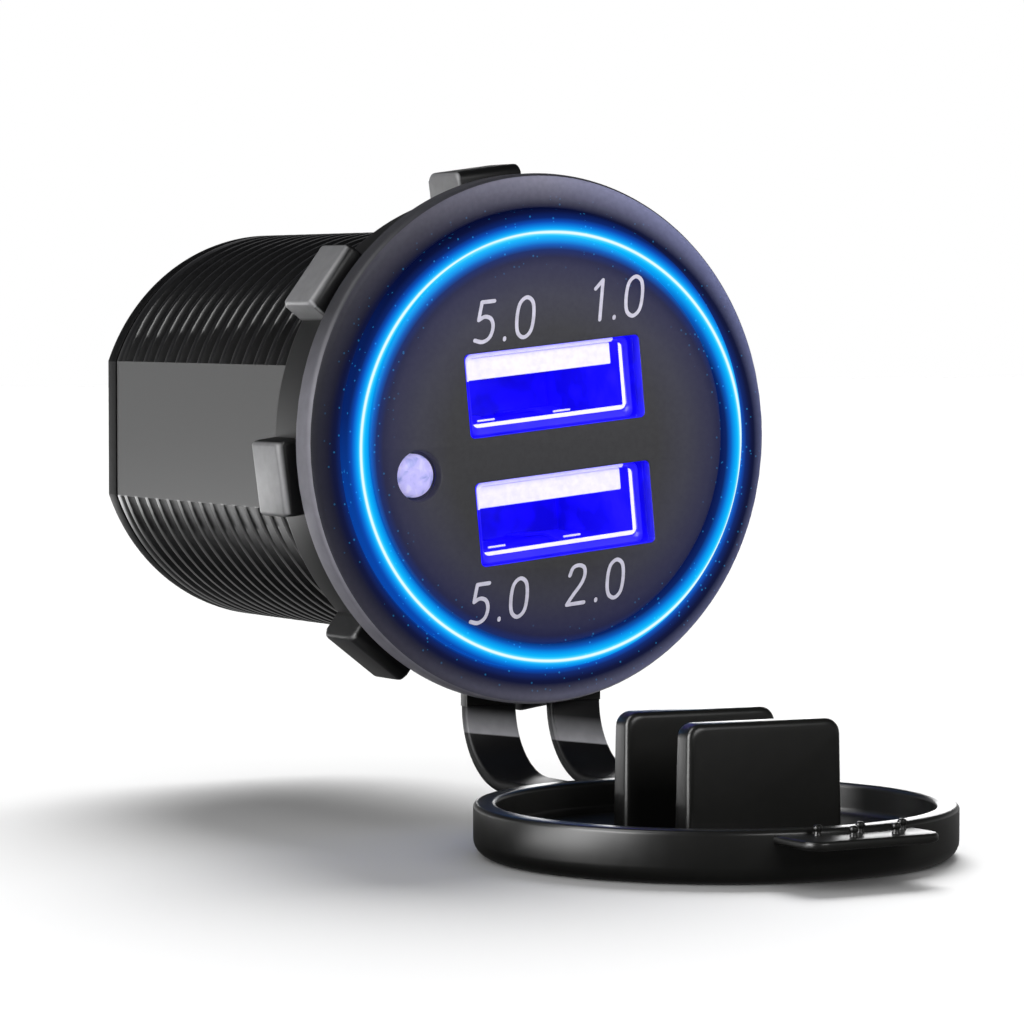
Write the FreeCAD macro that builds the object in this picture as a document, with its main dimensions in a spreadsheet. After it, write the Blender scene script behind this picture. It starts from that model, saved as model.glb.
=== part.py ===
import FreeCAD, Part
import math
import os
import Sketcher

# Dual USB charging socket for a round panel hole, with a tethered rubber cap that hangs open.
# Millimetres and degrees. The origin is on the barrel's axis, where the flange meets the panel.
# The face looks towards -Y, the barrel runs towards +Y, and +Z is up.
SIZES = {
    # how far a joined shape reaches into its base, and a cut past its surface
    "joined_depth": 1.0,
    "cut_over": 0.2,
    # moulded housing: flange and threaded barrel in one piece
    "flange_radius": 18.5,
    "flange_thickness": 2.2,
    "flange_chamfer": 0.35,
    "barrel_length": 39.9,
    "barrel_chamfer": 0.6,
    "barrel_wall": 1.8,
    "thread_radius": 14.75,
    "thread_depth": 0.75,
    "thread_pitch": 1.8,
    "thread_crest": 0.5,
    "thread_start": 2.6,
    "thread_land": 2.6,
    "flat_distance": 13.84,
    "flange_rim": 2.45,
    "recess_depth": 1.2,
    "counterbore_step": 1.2,
    "counterbore_depth": 1.4,
    # insert in the flange: clear light ring round a matt plate
    "seat_gap": 0.05,
    "ring_proud": 0.9,
    "ring_width": 1.7,
    "ring_foot": 0.9,
    "ring_foot_width": 2.0,
    "plate_setback": 0.15,
    "boss_gap": 0.2,
    "boss_depth": 1.4,
    "port_side_gap": 0.5,
    "port_edge_gap": 0.05,
    "port_spacing": 8.9,
    "face_offset_x": 0.95,
    "face_offset_z": -0.72,
    "face_turn": 5.6,
    # indicator lamp beside the ports
    "lamp_x": -10.35,
    "lamp_z": -2.33,
    "lamp_gap": 0.22,
    "lamp_radius": 1.5,
    "lamp_bevel": 0.8,
    "lamp_base_step": 0.15,
    "lamp_base_height": 0.8,
    "lamp_setback": 0.35,
    # lamps behind the light ring, on their own board
    "ring_board_thickness": 0.8,
    "ring_board_window_gap": 0.2,
    "chip_lamp_count": 8,
    "chip_lamp_length": 1.6,
    "chip_lamp_width": 0.8,
    "chip_lamp_height": 0.6,
    "chip_lamp_inset": 0.45,
    # USB type A receptacles
    "shell_width": 13.2,
    "shell_height": 5.7,
    "shell_wall": 0.3,
    "shell_corner": 0.5,
    "shell_length": 14.0,
    "shell_setback": 1.8,
    "tongue_side_gap": 0.75,
    "tongue_thickness": 1.6,
    "tongue_drop": 0.2,
    "tongue_setback": 0.5,
    "insulator_block": 4.0,
    "contact_width": 1.0,
    "contact_thickness": 0.2,
    "contact_setback": 0.9,
    "contact_inner": 1.0,
    "contact_outer": 3.5,
    # boards and parts of the 12 V to 5 V converter
    "board_thickness": 1.2,
    "board_gap": 0.15,
    "converter_board_side_gap": 1.15,
    "converter_board_top": 0.8,
    "header_length": 10.2,
    "header_side": 2.5,
    "inductor_x": -5.8,
    "inductor_gap": 1.55,
    "inductor_side": 9.0,
    "inductor_height": 5.2,
    "inductor_corner": 1.6,
    "can_radius": 3.15,
    "can_height": 5.8,
    "can_x": 5.9,
    "can_gap": 0.8,
    "chip_length": 4.9,
    "chip_width": 3.9,
    "chip_height": 1.5,
    "chip_gap": 4.0,
    "chip_lead_reach": 1.05,
    "chip_lead_width": 0.4,
    "chip_lead_pitch": 1.27,
    "chip_lead_height": 0.6,
    "diode_x": -6.6,
    "diode_gap": 5.2,
    "diode_length": 4.3,
    "diode_width": 2.6,
    "diode_height": 2.2,
    # rear cover and the two blade terminals
    "cover_setback": 0.5,
    "cover_thickness": 1.8,
    "cover_skirt_depth": 1.4,
    "cover_skirt_wall": 0.9,
    "cover_gap": 0.1,
    "blade_width": 6.3,
    "blade_thickness": 0.8,
    "blade_reach": 8.0,
    "blade_seat": 4.8,
    "blade_x": 5.2,
    "blade_tip": 1.0,
    "blade_hole_radius": 0.85,
    "blade_hole_from_tip": 3.6,
    "blade_slot_gap": 0.1,
    # fixing nut behind the panel
    "nut_height": 4.5,
    "nut_clearance": 0.15,
    "nut_wall": 2.4,
    "nut_chamfer": 0.4,
    "lug_height": 1.8,
    "lug_width": 5.2,
    "lug_count": 8,
    "lug_turn": -7.8,
    "lug_bevel": 0.5,
    # rubber cap: ring under the flange, two straps and the lid
    "cap_ring_thickness": 0.9,
    "cap_ring_gap": 0.05,
    "cap_ring_width": 2.8,
    "strap_width": 4.1,
    "strap_spacing": 6.9,
    "strap_x": 0.5,
    "strap_thickness": 0.9,
    "strap_root_reach": 1.0,
    "strap_lean": 42.0,
    "strap_upper_bend": 1.7,
    "strap_lower_bend": 3.6,
    "strap_below_rim": 0.6,
    "lid_gap": 0.05,
    "lid_radius": 15.9,
    "lid_y": -24.0,
    "lid_rim_z": -23.16,
    "lid_height": 3.44,
    "lid_hollow": 2.15,
    "lid_wall": 1.5,
    "rim_chamfer": 0.25,
    "lid_bevel": 1.1,
    "lid_bevel_break": 0.32,
    "lid_closed_z": -1.2,
    "plug_side_gap": 0.6,
    "plug_over_gap": 0.45,
    "plug_under_gap": 0.75,
    "plug_rise": 5.26,
    "plug_chamfer": 0.35,
    "plug_taper": 1.0,
    "tab_width": 10.0,
    "tab_reach": 3.4,
    "tab_thickness": 0.6,
    "tab_below_rim": 0.3,
    "tab_corner": 1.2,
    "tab_x": -0.5,
    "nub_x": 0.05,
    "nub_radius": 0.28,
    "nub_height": 0.7,
    "nub_spacing": 3.2,
    "nub_inner_row": 0.4,
    "nub_outer_row": 2.0,
}

# Levels along the barrel's axis, as expressions in the sheet's names
FLANGE_FRONT = "(-Size.flange_thickness)"
RECESS_FLOOR = "(Size.recess_depth - Size.flange_thickness)"
RING_FRONT = f"({FLANGE_FRONT} - Size.ring_proud)"
FOOT_FRONT = f"({RECESS_FLOOR} - Size.ring_foot)"
PLATE_FRONT = f"({RING_FRONT} + Size.plate_setback)"
SHELL_FRONT = f"({PLATE_FRONT} + Size.shell_setback)"
SHELL_REAR = f"({SHELL_FRONT} + Size.shell_length)"
PORT_BOARD_REAR = f"({SHELL_REAR} + Size.board_thickness)"
RING_BOARD_REAR = "Size.counterbore_depth"
RING_BOARD_FRONT = f"({RING_BOARD_REAR} - Size.ring_board_thickness)"
COVER_REAR = "(Size.barrel_length - Size.cover_setback)"
COVER_FRONT = f"({COVER_REAR} - Size.cover_thickness)"
NUT_FRONT = "Size.cap_ring_thickness"
FLAT_HALF = "sqrt(Size.thread_radius ^ 2 - Size.flat_distance ^ 2)"
BOARD_REAR = f"({COVER_FRONT} - Size.cover_skirt_depth)"
HEADER_REAR = f"({PORT_BOARD_REAR} + Size.header_side)"

# Radii and widths that other pieces have to fit, from the flange and the thread inwards and outwards
RECESS = "(Size.flange_radius - Size.flange_rim)"
RING_OUTER = f"({RECESS} - Size.seat_gap)"
RING_INNER = f"({RING_OUTER} - Size.ring_width)"
RING_FOOT = f"({RING_INNER} - Size.ring_foot_width)"
BORE = "(Size.thread_radius - Size.thread_depth - Size.barrel_wall)"
COUNTERBORE = f"({BORE} + Size.counterbore_step)"
RING_BOARD = f"({COUNTERBORE} - Size.cover_gap)"
NUT_BORE = "(Size.thread_radius + Size.nut_clearance)"
NUT_OUTER = f"({NUT_BORE} + Size.nut_wall)"
LUG_REACH = f"({NUT_OUTER} + Size.lug_height)"
CAP_RING_BORE = "(Size.thread_radius + Size.cap_ring_gap)"
CAP_RING = f"({CAP_RING_BORE} + Size.cap_ring_width)"
STRAP_ROOT = f"({CAP_RING} + Size.strap_root_reach)"
RIM_INNER = "(Size.lid_radius - Size.lid_wall)"
SHELL_BORE_WIDTH = "(Size.shell_width - 2 * Size.shell_wall)"
SHELL_BORE_HEIGHT = "(Size.shell_height - 2 * Size.shell_wall)"
TONGUE_TOP = f"({SHELL_BORE_HEIGHT} / 2 - Size.tongue_drop)"
TONGUE_BOTTOM = f"({TONGUE_TOP} - Size.tongue_thickness)"
TONGUE_MIDDLE = f"({TONGUE_TOP} - Size.tongue_thickness / 2)"

doc = FreeCAD.newDocument("dual_usb_socket")


def make_sheet():
    """Spreadsheet of the driving sizes, one named cell each."""
    sheet = doc.addObject("Spreadsheet::Sheet", "Size")
    for row, (name, size) in enumerate(SIZES.items(), start=1):
        sheet.set(f"A{row}", name)
        sheet.set(f"B{row}", str(size))
        sheet.setAlias(f"B{row}", name)
    doc.recompute()
    return sheet


def new_body(name):
    body = doc.addObject("PartDesign::Body", name)
    body.Label = name
    return body


def set_axis(body, axis):
    """Give a body the axis it turns about. The angle follows as an expression."""
    body.Placement = FreeCAD.Placement(FreeCAD.Vector(), FreeCAD.Rotation(FreeCAD.Vector(*axis), 1))


def new_sketch(body, role, name, level="0", turn=None):
    """Sketch on one of the body's own planes, moved along the plane's normal to a level.

    The XZ plane's normal is -Y, so a level there is counted from front to back and its sign changes.
    """
    sketch = body.newObject("Sketcher::SketchObject", name)
    plane = next(part for part in body.Origin.OriginFeatures if part.Role == role)
    sketch.AttachmentSupport = [(plane, "")]
    sketch.MapMode = "FlatFace"
    if level != "0":
        sign = "-" if role == "XZ_Plane" else ""
        sketch.setExpression("AttachmentOffset.Base.z", f"{sign}({level})")
    if turn:
        across, along, angle = turn
        about_z = FreeCAD.Rotation(FreeCAD.Vector(0, 0, 1), 1)
        sketch.AttachmentOffset = FreeCAD.Placement(FreeCAD.Vector(), about_z)
        sketch.setExpression("AttachmentOffset.Base.x", across)
        sketch.setExpression("AttachmentOffset.Base.y", along)
        sketch.setExpression("AttachmentOffset.Rotation.Angle", angle)
    return sketch


def value(sketch, expression):
    return float(sketch.evalExpression(expression))


def bind(sketch, kind, geometry, point, expression):
    """Tie one coordinate of a sketch point to an expression, or to the axis where it is zero."""
    if expression == "0":
        axis = -2 if kind == "DistanceX" else -1
        sketch.addConstraint(Sketcher.Constraint("PointOnObject", geometry, point, axis))
        return
    number = value(sketch, expression)
    index = sketch.addConstraint(Sketcher.Constraint(kind, -1, 1, geometry, point, number))
    sketch.setExpression(f"Constraints[{index}]", expression)


def arc_between(start, end, radius, turn):
    """Arc from start to end, turning left where turn is 1 and right where it is -1."""
    chord = end - start
    half = chord.Length / 2
    across = FreeCAD.Vector(-chord.y, chord.x, 0).normalize() * turn
    centre = (start + end) / 2 + across * math.sqrt(max(radius * radius - half * half, 0))
    angles = [math.atan2(p.y - centre.y, p.x - centre.x) for p in (start, end)]
    if turn < 0:
        angles.reverse()
    return Part.ArcOfCircle(Part.Circle(centre, FreeCAD.Vector(0, 0, 1), radius), *angles)


def draw_outline(sketch, corners):
    """Closed outline through corners, each (x, y) or, where an arc leaves it, (x, y, radius, turn)."""
    points = [FreeCAD.Vector(value(sketch, c[0]), value(sketch, c[1]), 0) for c in corners]
    first = sketch.GeometryCount
    ends = []
    for index, corner in enumerate(corners):
        start, end = points[index], points[(index + 1) % len(points)]
        if len(corner) == 2:
            sketch.addGeometry(Part.LineSegment(start, end))
            ends.append((1, 2))
        else:
            sketch.addGeometry(arc_between(start, end, value(sketch, corner[2]), corner[3]))
            ends.append((1, 2) if corner[3] > 0 else (2, 1))
    for index, corner in enumerate(corners):
        after = (index + 1) % len(corners)
        joined = (first + index, ends[index][1], first + after, ends[after][0])
        sketch.addConstraint(Sketcher.Constraint("Coincident", *joined))
        bind(sketch, "DistanceX", first + index, ends[index][0], corner[0])
        bind(sketch, "DistanceY", first + index, ends[index][0], corner[1])
        if len(corner) == 4:
            radius = value(sketch, corner[2])
            number = sketch.addConstraint(Sketcher.Constraint("Radius", first + index, radius))
            sketch.setExpression(f"Constraints[{number}]", corner[2])


def draw_rectangle(sketch, width, height, x="0", y="0"):
    """Rectangle of a width and height, centred at x, y."""
    left, right = f"{x} - ({width}) / 2", f"{x} + ({width}) / 2"
    low, high = f"{y} - ({height}) / 2", f"{y} + ({height}) / 2"
    draw_outline(sketch, [(left, low), (right, low), (right, high), (left, high)])


def draw_rounded(sketch, width, height, corner):
    """Rectangle about the origin with rounded corners."""
    right, top = f"({width}) / 2", f"({height}) / 2"
    inner_right, inner_top = f"({right} - {corner})", f"({top} - {corner})"
    draw_outline(
        sketch,
        [
            (f"-{inner_right}", f"-({top})"),
            (inner_right, f"-({top})", corner, 1),
            (right, f"-{inner_top}"),
            (right, inner_top, corner, 1),
            (inner_right, top),
            (f"-{inner_right}", top, corner, 1),
            (f"-({right})", inner_top),
            (f"-({right})", f"-{inner_top}", corner, 1),
        ],
    )


def draw_hexagon(sketch, radius, x, y):
    """Hexagon whose corners lie on a circle about x, y."""
    corners = []
    for turn in range(30, 390, 60):
        corners.append((f"{x} + {radius} * cos({turn})", f"{y} + {radius} * sin({turn})"))
    draw_outline(sketch, corners)


def draw_circle(sketch, radius, x="0", y="0"):
    centre = FreeCAD.Vector(value(sketch, x), value(sketch, y), 0)
    index = sketch.addGeometry(Part.Circle(centre, FreeCAD.Vector(0, 0, 1), value(sketch, radius)))
    if x == "0" and y == "0":
        sketch.addConstraint(Sketcher.Constraint("Coincident", index, 3, -1, 1))
    else:
        bind(sketch, "DistanceX", index, 3, x)
        bind(sketch, "DistanceY", index, 3, y)
    number = sketch.addConstraint(Sketcher.Constraint("Radius", index, value(sketch, radius)))
    sketch.setExpression(f"Constraints[{number}]", radius)


def revolve(body, sketch, name, kind="Revolution"):
    """Full turn of a sketch about its vertical axis, as material or, with kind Groove, as a cut."""
    feature = body.newObject(f"PartDesign::{kind}", name)
    feature.Profile = sketch
    feature.ReferenceAxis = (sketch, ["V_Axis"])
    feature.Angle = 360
    return feature


def pad(body, sketch, name, length, back=False, symmetric=False):
    """Pad along the sketch's normal, or against it where back is true."""
    feature = body.newObject("PartDesign::Pad", name)
    feature.Profile = sketch
    feature.setExpression("Length", length)
    feature.Reversed = back
    if symmetric:
        feature.SideType = "Symmetric"
    return feature


def pocket_through(body, sketch, name):
    """Cut right through the body, both ways from the sketch."""
    feature = body.newObject("PartDesign::Pocket", name)
    feature.Profile = sketch
    feature.Type = "ThroughAll"
    feature.SideType = "Symmetric"
    return feature


def pocket(body, sketch, name, length, back=False):
    """Cut to a depth against the sketch's normal, or along it where back is true."""
    feature = body.newObject("PartDesign::Pocket", name)
    feature.Profile = sketch
    feature.setExpression("Length", length)
    feature.Reversed = back
    return feature


def bevel_edges(body, base, name, size, wanted):
    """Chamfer of the edges of a feature that pass a test."""
    doc.recompute()
    edges = base.Shape.Edges
    picked = [f"Edge{i}" for i, edge in enumerate(edges, start=1) if wanted(edge)]
    feature = body.newObject("PartDesign::Chamfer", name)
    feature.Base = (base, picked)
    feature.setExpression("Size", size)
    return feature


def turned_body(name, corners):
    """Body turned about the barrel's axis from corners given as (radius, level)."""
    body = new_body(name)
    sketch = new_sketch(body, "XY_Plane", f"{name}_profile")
    draw_outline(sketch, corners)
    revolve(body, sketch, f"{name}_turned")
    return body


def make_housing():
    """Flange and barrel in one moulding, ribbed like a coarse thread that two flats interrupt."""
    crest, root = "Size.thread_radius", "(Size.thread_radius - Size.thread_depth)"
    chamfer = "Size.barrel_chamfer"
    rear = "Size.barrel_length"
    body = turned_body(
        "housing",
        [
            (RECESS, FLANGE_FRONT),
            ("Size.flange_radius - Size.flange_chamfer", FLANGE_FRONT),
            ("Size.flange_radius", f"{FLANGE_FRONT} + Size.flange_chamfer"),
            ("Size.flange_radius", "0"),
            (crest, "0"),
            (crest, f"{rear} - {chamfer}"),
            (f"{crest} - {chamfer}", rear),
            (BORE, rear),
            (BORE, "Size.counterbore_depth"),
            (COUNTERBORE, "Size.counterbore_depth"),
            (COUNTERBORE, RECESS_FLOOR),
            (RECESS, RECESS_FLOOR),
        ],
    )
    groove = new_sketch(body, "XY_Plane", "thread_groove")
    half = "(Size.thread_pitch - Size.thread_crest) / 2"
    over = "(1 + Size.cut_over / Size.thread_depth)"
    draw_outline(
        groove,
        [
            (f"{crest} + Size.cut_over", f"Size.thread_start - {half} * {over}"),
            (f"{crest} + Size.cut_over", f"Size.thread_start + {half} * {over}"),
            (root, "Size.thread_start"),
        ],
    )
    first = revolve(body, groove, "first_groove", kind="Groove")
    grooves = body.newObject("PartDesign::LinearPattern", "grooves")
    grooves.Originals = [first]
    grooves.Direction = (groove, ["V_Axis"])
    steps = f"floor(({rear} - Size.thread_land - Size.thread_start) / Size.thread_pitch)"
    grooves.setExpression("Length", f"{steps} * Size.thread_pitch")
    grooves.setExpression("Occurrences", f"{steps} + 1")
    body.Tip = grooves

    fill = new_sketch(body, "XZ_Plane", "flat_fill", level="Size.counterbore_depth")
    depth = f"(Size.flat_distance - {BORE} - Size.cut_over)"
    for side in ("-", ""):
        middle = f"{side}(Size.flat_distance - {depth} / 2)"
        draw_rectangle(fill, depth, f"2 * {FLAT_HALF}", middle, "0")
    pad(body, fill, "flat_bands", f"{rear} - Size.counterbore_depth - {chamfer}", back=True)

    cut = new_sketch(body, "XZ_Plane", "flat_cut")
    for side in ("-", ""):
        middle = f"{side}(Size.flat_distance + {crest} / 2)"
        draw_rectangle(cut, crest, f"4 * {crest}", middle, "0")
    pocket(body, cut, "flats", rear)
    return body


def make_light_ring():
    """Clear moulding: a rim that shows round the face, on a foot that bridges over the lamps."""
    return turned_body(
        "light_ring",
        [
            (RING_INNER, RING_FRONT),
            (RING_OUTER, RING_FRONT),
            (RING_OUTER, RECESS_FLOOR),
            (RING_FOOT, RECESS_FLOOR),
            (RING_FOOT, FOOT_FRONT),
            (RING_INNER, FOOT_FRONT),
        ],
    )


def make_face_plate():
    """Matt plate inside the ring, with two port openings and the lamp's hole."""
    radius = f"({RING_INNER} - Size.seat_gap)"
    boss = f"({RING_FOOT} - Size.boss_gap)"
    body = turned_body(
        "face_plate",
        [
            ("0", PLATE_FRONT),
            (radius, PLATE_FRONT),
            (radius, FOOT_FRONT),
            (boss, FOOT_FRONT),
            (boss, f"{FOOT_FRONT} + Size.boss_depth"),
            ("0", f"{FOOT_FRONT} + Size.boss_depth"),
        ],
    )
    turn = ("Size.face_offset_x", "Size.face_offset_z", "Size.face_turn")
    ports = new_sketch(body, "XZ_Plane", "port_openings", turn=turn)
    width = "Size.shell_width + 2 * Size.port_side_gap"
    height = "Size.shell_height + 2 * Size.port_edge_gap"
    for side in ("-", ""):
        draw_rectangle(ports, width, height, "0", f"{side}Size.port_spacing / 2")
    pocket_through(body, ports, "ports")
    hole = new_sketch(body, "XZ_Plane", "lamp_opening")
    draw_circle(hole, "Size.lamp_radius + Size.lamp_gap", "Size.lamp_x", "Size.lamp_z")
    pocket_through(body, hole, "lamp_hole")
    return body


def make_indicator_lamp():
    """Lamp with a bevelled tip and a stepped base that stands on the ring board."""
    tip = f"({PLATE_FRONT} + Size.lamp_setback)"
    shoulder = f"({RING_BOARD_FRONT} - Size.lamp_base_height)"
    base = "(Size.lamp_radius + Size.lamp_base_step)"
    body = turned_body(
        "indicator_led",
        [
            ("0", tip),
            ("Size.lamp_radius - Size.lamp_bevel", tip),
            ("Size.lamp_radius", f"{tip} + Size.lamp_bevel"),
            ("Size.lamp_radius", shoulder),
            (base, shoulder),
            (base, RING_BOARD_FRONT),
            ("0", RING_BOARD_FRONT),
        ],
    )
    body.setExpression("Placement.Base.x", "Size.lamp_x")
    body.setExpression("Placement.Base.z", "Size.lamp_z")
    return body


def make_ring_board():
    """Round board behind the light ring, with one window for both receptacles."""
    body = new_body("ring_board")
    disc = new_sketch(body, "XZ_Plane", "ring_board_disc", level=RING_BOARD_FRONT)
    draw_circle(disc, RING_BOARD)
    pad(body, disc, "ring_board_pad", "Size.ring_board_thickness", back=True)
    turn = ("Size.face_offset_x", "Size.face_offset_z", "Size.face_turn")
    window = new_sketch(body, "XZ_Plane", "ring_board_window", turn=turn)
    gap = "2 * Size.ring_board_window_gap"
    draw_rectangle(window, f"Size.shell_width + {gap}", f"Size.shell_height + Size.port_spacing + {gap}")
    pocket_through(body, window, "window")
    return body


def make_ring_lamps():
    """Small lamps in a circle on the ring board, facing the foot of the light ring."""
    body = new_body("ring_leds")
    outline = new_sketch(body, "XZ_Plane", "chip_lamp_outline", level=RING_BOARD_FRONT)
    middle = f"({RING_BOARD} - Size.chip_lamp_inset)"
    draw_rectangle(outline, "Size.chip_lamp_width", "Size.chip_lamp_length", middle, "0")
    lamp = pad(body, outline, "chip_lamp", "Size.chip_lamp_height")
    circle = body.newObject("PartDesign::PolarPattern", "chip_lamps")
    circle.Originals = [lamp]
    circle.Axis = (outline, ["N_Axis"])
    circle.Angle = 360
    circle.setExpression("Occurrences", "Size.chip_lamp_count")
    body.Tip = circle
    return body


def seat_at_port(body, side):
    """Place a receptacle's piece at the upper port, or the lower one where side is a minus sign."""
    half = f"({side}Size.port_spacing / 2)"
    set_axis(body, (0, -1, 0))
    body.setExpression("Placement.Base.x", f"Size.face_offset_x - {half} * sin(Size.face_turn)")
    body.setExpression("Placement.Base.z", f"Size.face_offset_z + {half} * cos(Size.face_turn)")
    body.setExpression("Placement.Rotation.Angle", "Size.face_turn")


def make_shell(name, side):
    """Folded metal shell of a receptacle."""
    body = new_body(name)
    tube = new_sketch(body, "XZ_Plane", f"{name}_section", level=SHELL_FRONT)
    draw_rounded(tube, "Size.shell_width", "Size.shell_height", "Size.shell_corner")
    draw_rectangle(tube, SHELL_BORE_WIDTH, SHELL_BORE_HEIGHT)
    pad(body, tube, f"{name}_tube", "Size.shell_length", back=True)
    seat_at_port(body, side)
    return body


def make_insulator(name, side):
    """Plastic block at the back of a receptacle, with the tongue that carries the contacts."""
    body = new_body(name)
    inner_width = f"({SHELL_BORE_WIDTH} - 2 * Size.seat_gap)"
    inner_height = f"({SHELL_BORE_HEIGHT} - 2 * Size.seat_gap)"
    block = new_sketch(body, "XZ_Plane", f"{name}_block", level=SHELL_REAR)
    draw_rectangle(block, inner_width, inner_height)
    pad(body, block, f"{name}_block_pad", "Size.insulator_block")
    level = f"{SHELL_REAR} - Size.insulator_block / 2"
    tongue = new_sketch(body, "XZ_Plane", f"{name}_tongue", level=level)
    width = f"{SHELL_BORE_WIDTH} - 2 * Size.tongue_side_gap"
    draw_rectangle(tongue, width, "Size.tongue_thickness", "0", TONGUE_MIDDLE)
    reach = "Size.shell_length - Size.insulator_block / 2 - Size.tongue_setback"
    pad(body, tongue, f"{name}_tongue_pad", reach)
    seat_at_port(body, side)
    return body


def make_contacts(name, port):
    """Four contact strips under a tongue."""
    body = new_body(name)
    level = f"{SHELL_REAR} - Size.insulator_block"
    strips = new_sketch(body, "XZ_Plane", f"{name}_strips", level=level)
    middle = f"{TONGUE_BOTTOM} - Size.contact_thickness / 2"
    size = ("Size.contact_width", "Size.contact_thickness")
    for side in ("-", ""):
        for place in ("Size.contact_inner", "Size.contact_outer"):
            draw_rectangle(strips, *size, f"{side}{place}", middle)
    reach = "Size.shell_length - Size.insulator_block - Size.tongue_setback - Size.contact_setback"
    pad(body, strips, f"{name}_pad", reach)
    seat_at_port(body, port)
    return body


def make_port_board():
    """Round board that both receptacles stand on."""
    body = new_body("port_board")
    disc = new_sketch(body, "XZ_Plane", "port_board_disc", level=SHELL_REAR)
    draw_circle(disc, f"{BORE} - Size.board_gap")
    pad(body, disc, "port_board_pad", "Size.board_thickness", back=True)
    return body


def box_on_board(name, length_x, length_y, height, x, y, under=False):
    """Body of one block that stands on the converter board, or hangs under it."""
    body = new_body(name)
    level = "Size.converter_board_top" + (" - Size.board_thickness" if under else "")
    outline = new_sketch(body, "XY_Plane", f"{name}_outline", level=level)
    draw_rectangle(outline, length_x, length_y, x, y)
    pad(body, outline, f"{name}_block", height, back=under)
    return body


def make_converter_board():
    """Board along the barrel, from the port board to the rear cover, that carries the converter."""
    body = new_body("converter_board")
    outline = new_sketch(body, "XY_Plane", "converter_outline", level="Size.converter_board_top")
    chord = f"2 * sqrt({BORE} ^ 2 - Size.converter_board_top ^ 2)"
    width = f"({chord} - 2 * Size.converter_board_side_gap)"
    length = f"({BOARD_REAR} - {PORT_BOARD_REAR})"
    draw_rectangle(outline, width, length, "0", f"({PORT_BOARD_REAR} + {BOARD_REAR}) / 2")
    pad(body, outline, "converter_board_pad", "Size.board_thickness", back=True)
    return body


def make_board_header():
    """Pin header that joins the two boards at their corner."""
    middle = f"{PORT_BOARD_REAR} + Size.header_side / 2"
    size = ("Size.header_length", "Size.header_side", "Size.header_side")
    return box_on_board("board_header", *size, "0", middle)


def standing_body(name, corners, x, y):
    """Body turned about an upright axis that stands on the converter board."""
    body = new_body(name)
    sketch = new_sketch(body, "XZ_Plane", f"{name}_profile")
    draw_outline(sketch, corners)
    revolve(body, sketch, f"{name}_turned")
    body.setExpression("Placement.Base.x", x)
    body.setExpression("Placement.Base.y", y)
    body.setExpression("Placement.Base.z", "Size.converter_board_top")
    return body


def make_inductor():
    """Shielded inductor of the converter, a square ferrite block with cut corners."""
    size = ("Size.inductor_side", "Size.inductor_side", "Size.inductor_height")
    middle = f"{HEADER_REAR} + Size.inductor_gap + Size.inductor_side / 2"
    body = box_on_board("inductor", *size, "Size.inductor_x", middle)
    block = body.Tip
    bevel_edges(
        body, block, "inductor_corners", "Size.inductor_corner",
        lambda edge: abs(edge.tangentAt(edge.FirstParameter).z) > math.cos(math.radians(1)),
    )
    return body


def make_capacitor(name, place):
    """Can of an electrolytic capacitor, the first or the second one behind the pin header."""
    corners = [
        ("0", "0"),
        ("Size.can_radius", "0"),
        ("Size.can_radius", "Size.can_height"),
        ("0", "Size.can_height"),
    ]
    step = "(Size.can_gap + 2 * Size.can_radius)"
    return standing_body(name, corners, "Size.can_x", f"{HEADER_REAR} + {place} * {step} - Size.can_radius")


def make_converter_chip():
    """Eight-lead chip under the converter board."""
    size = ("Size.chip_width", "Size.chip_length", "Size.chip_height")
    middle = f"({PORT_BOARD_REAR} + Size.chip_gap + Size.chip_length / 2)"
    body = box_on_board("converter_chip", *size, "0", middle, under=True)
    underside = "Size.converter_board_top - Size.board_thickness"
    leads = new_sketch(body, "XY_Plane", "chip_leads", level=underside)
    width = "Size.chip_width + 2 * Size.chip_lead_reach"
    for row in ("-1.5", "-0.5", "0.5", "1.5"):
        lead = f"{middle} + ({row}) * Size.chip_lead_pitch"
        draw_rectangle(leads, width, "Size.chip_lead_width", "0", lead)
    pad(body, leads, "chip_lead_pad", "Size.chip_lead_height", back=True)
    return body


def make_diode():
    """Diode at the converter's input, under the board."""
    size = ("Size.diode_length", "Size.diode_width", "Size.diode_height")
    middle = f"{PORT_BOARD_REAR} + Size.diode_gap + Size.diode_width / 2"
    return box_on_board("input_diode", *size, "Size.diode_x", middle, under=True)


def make_rear_cover():
    """Round cover with a skirt, pressed into the back of the barrel, with a slot for each terminal."""
    radius = f"({BORE} - Size.cover_gap)"
    inner = f"({radius} - Size.cover_skirt_wall)"
    body = turned_body(
        "rear_cover",
        [
            ("0", COVER_FRONT),
            (inner, COVER_FRONT),
            (inner, f"{COVER_FRONT} - Size.cover_skirt_depth"),
            (radius, f"{COVER_FRONT} - Size.cover_skirt_depth"),
            (radius, COVER_REAR),
            ("0", COVER_REAR),
        ],
    )
    slots = new_sketch(body, "XZ_Plane", "terminal_slots")
    size = [f"Size.{side} + 2 * Size.blade_slot_gap" for side in ("blade_width", "blade_thickness")]
    middle = "Size.converter_board_top - Size.board_thickness - Size.blade_thickness / 2"
    for side in ("-", ""):
        draw_rectangle(slots, *size, f"{side}Size.blade_x", middle)
    pocket_through(body, slots, "slots")
    return body


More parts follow.
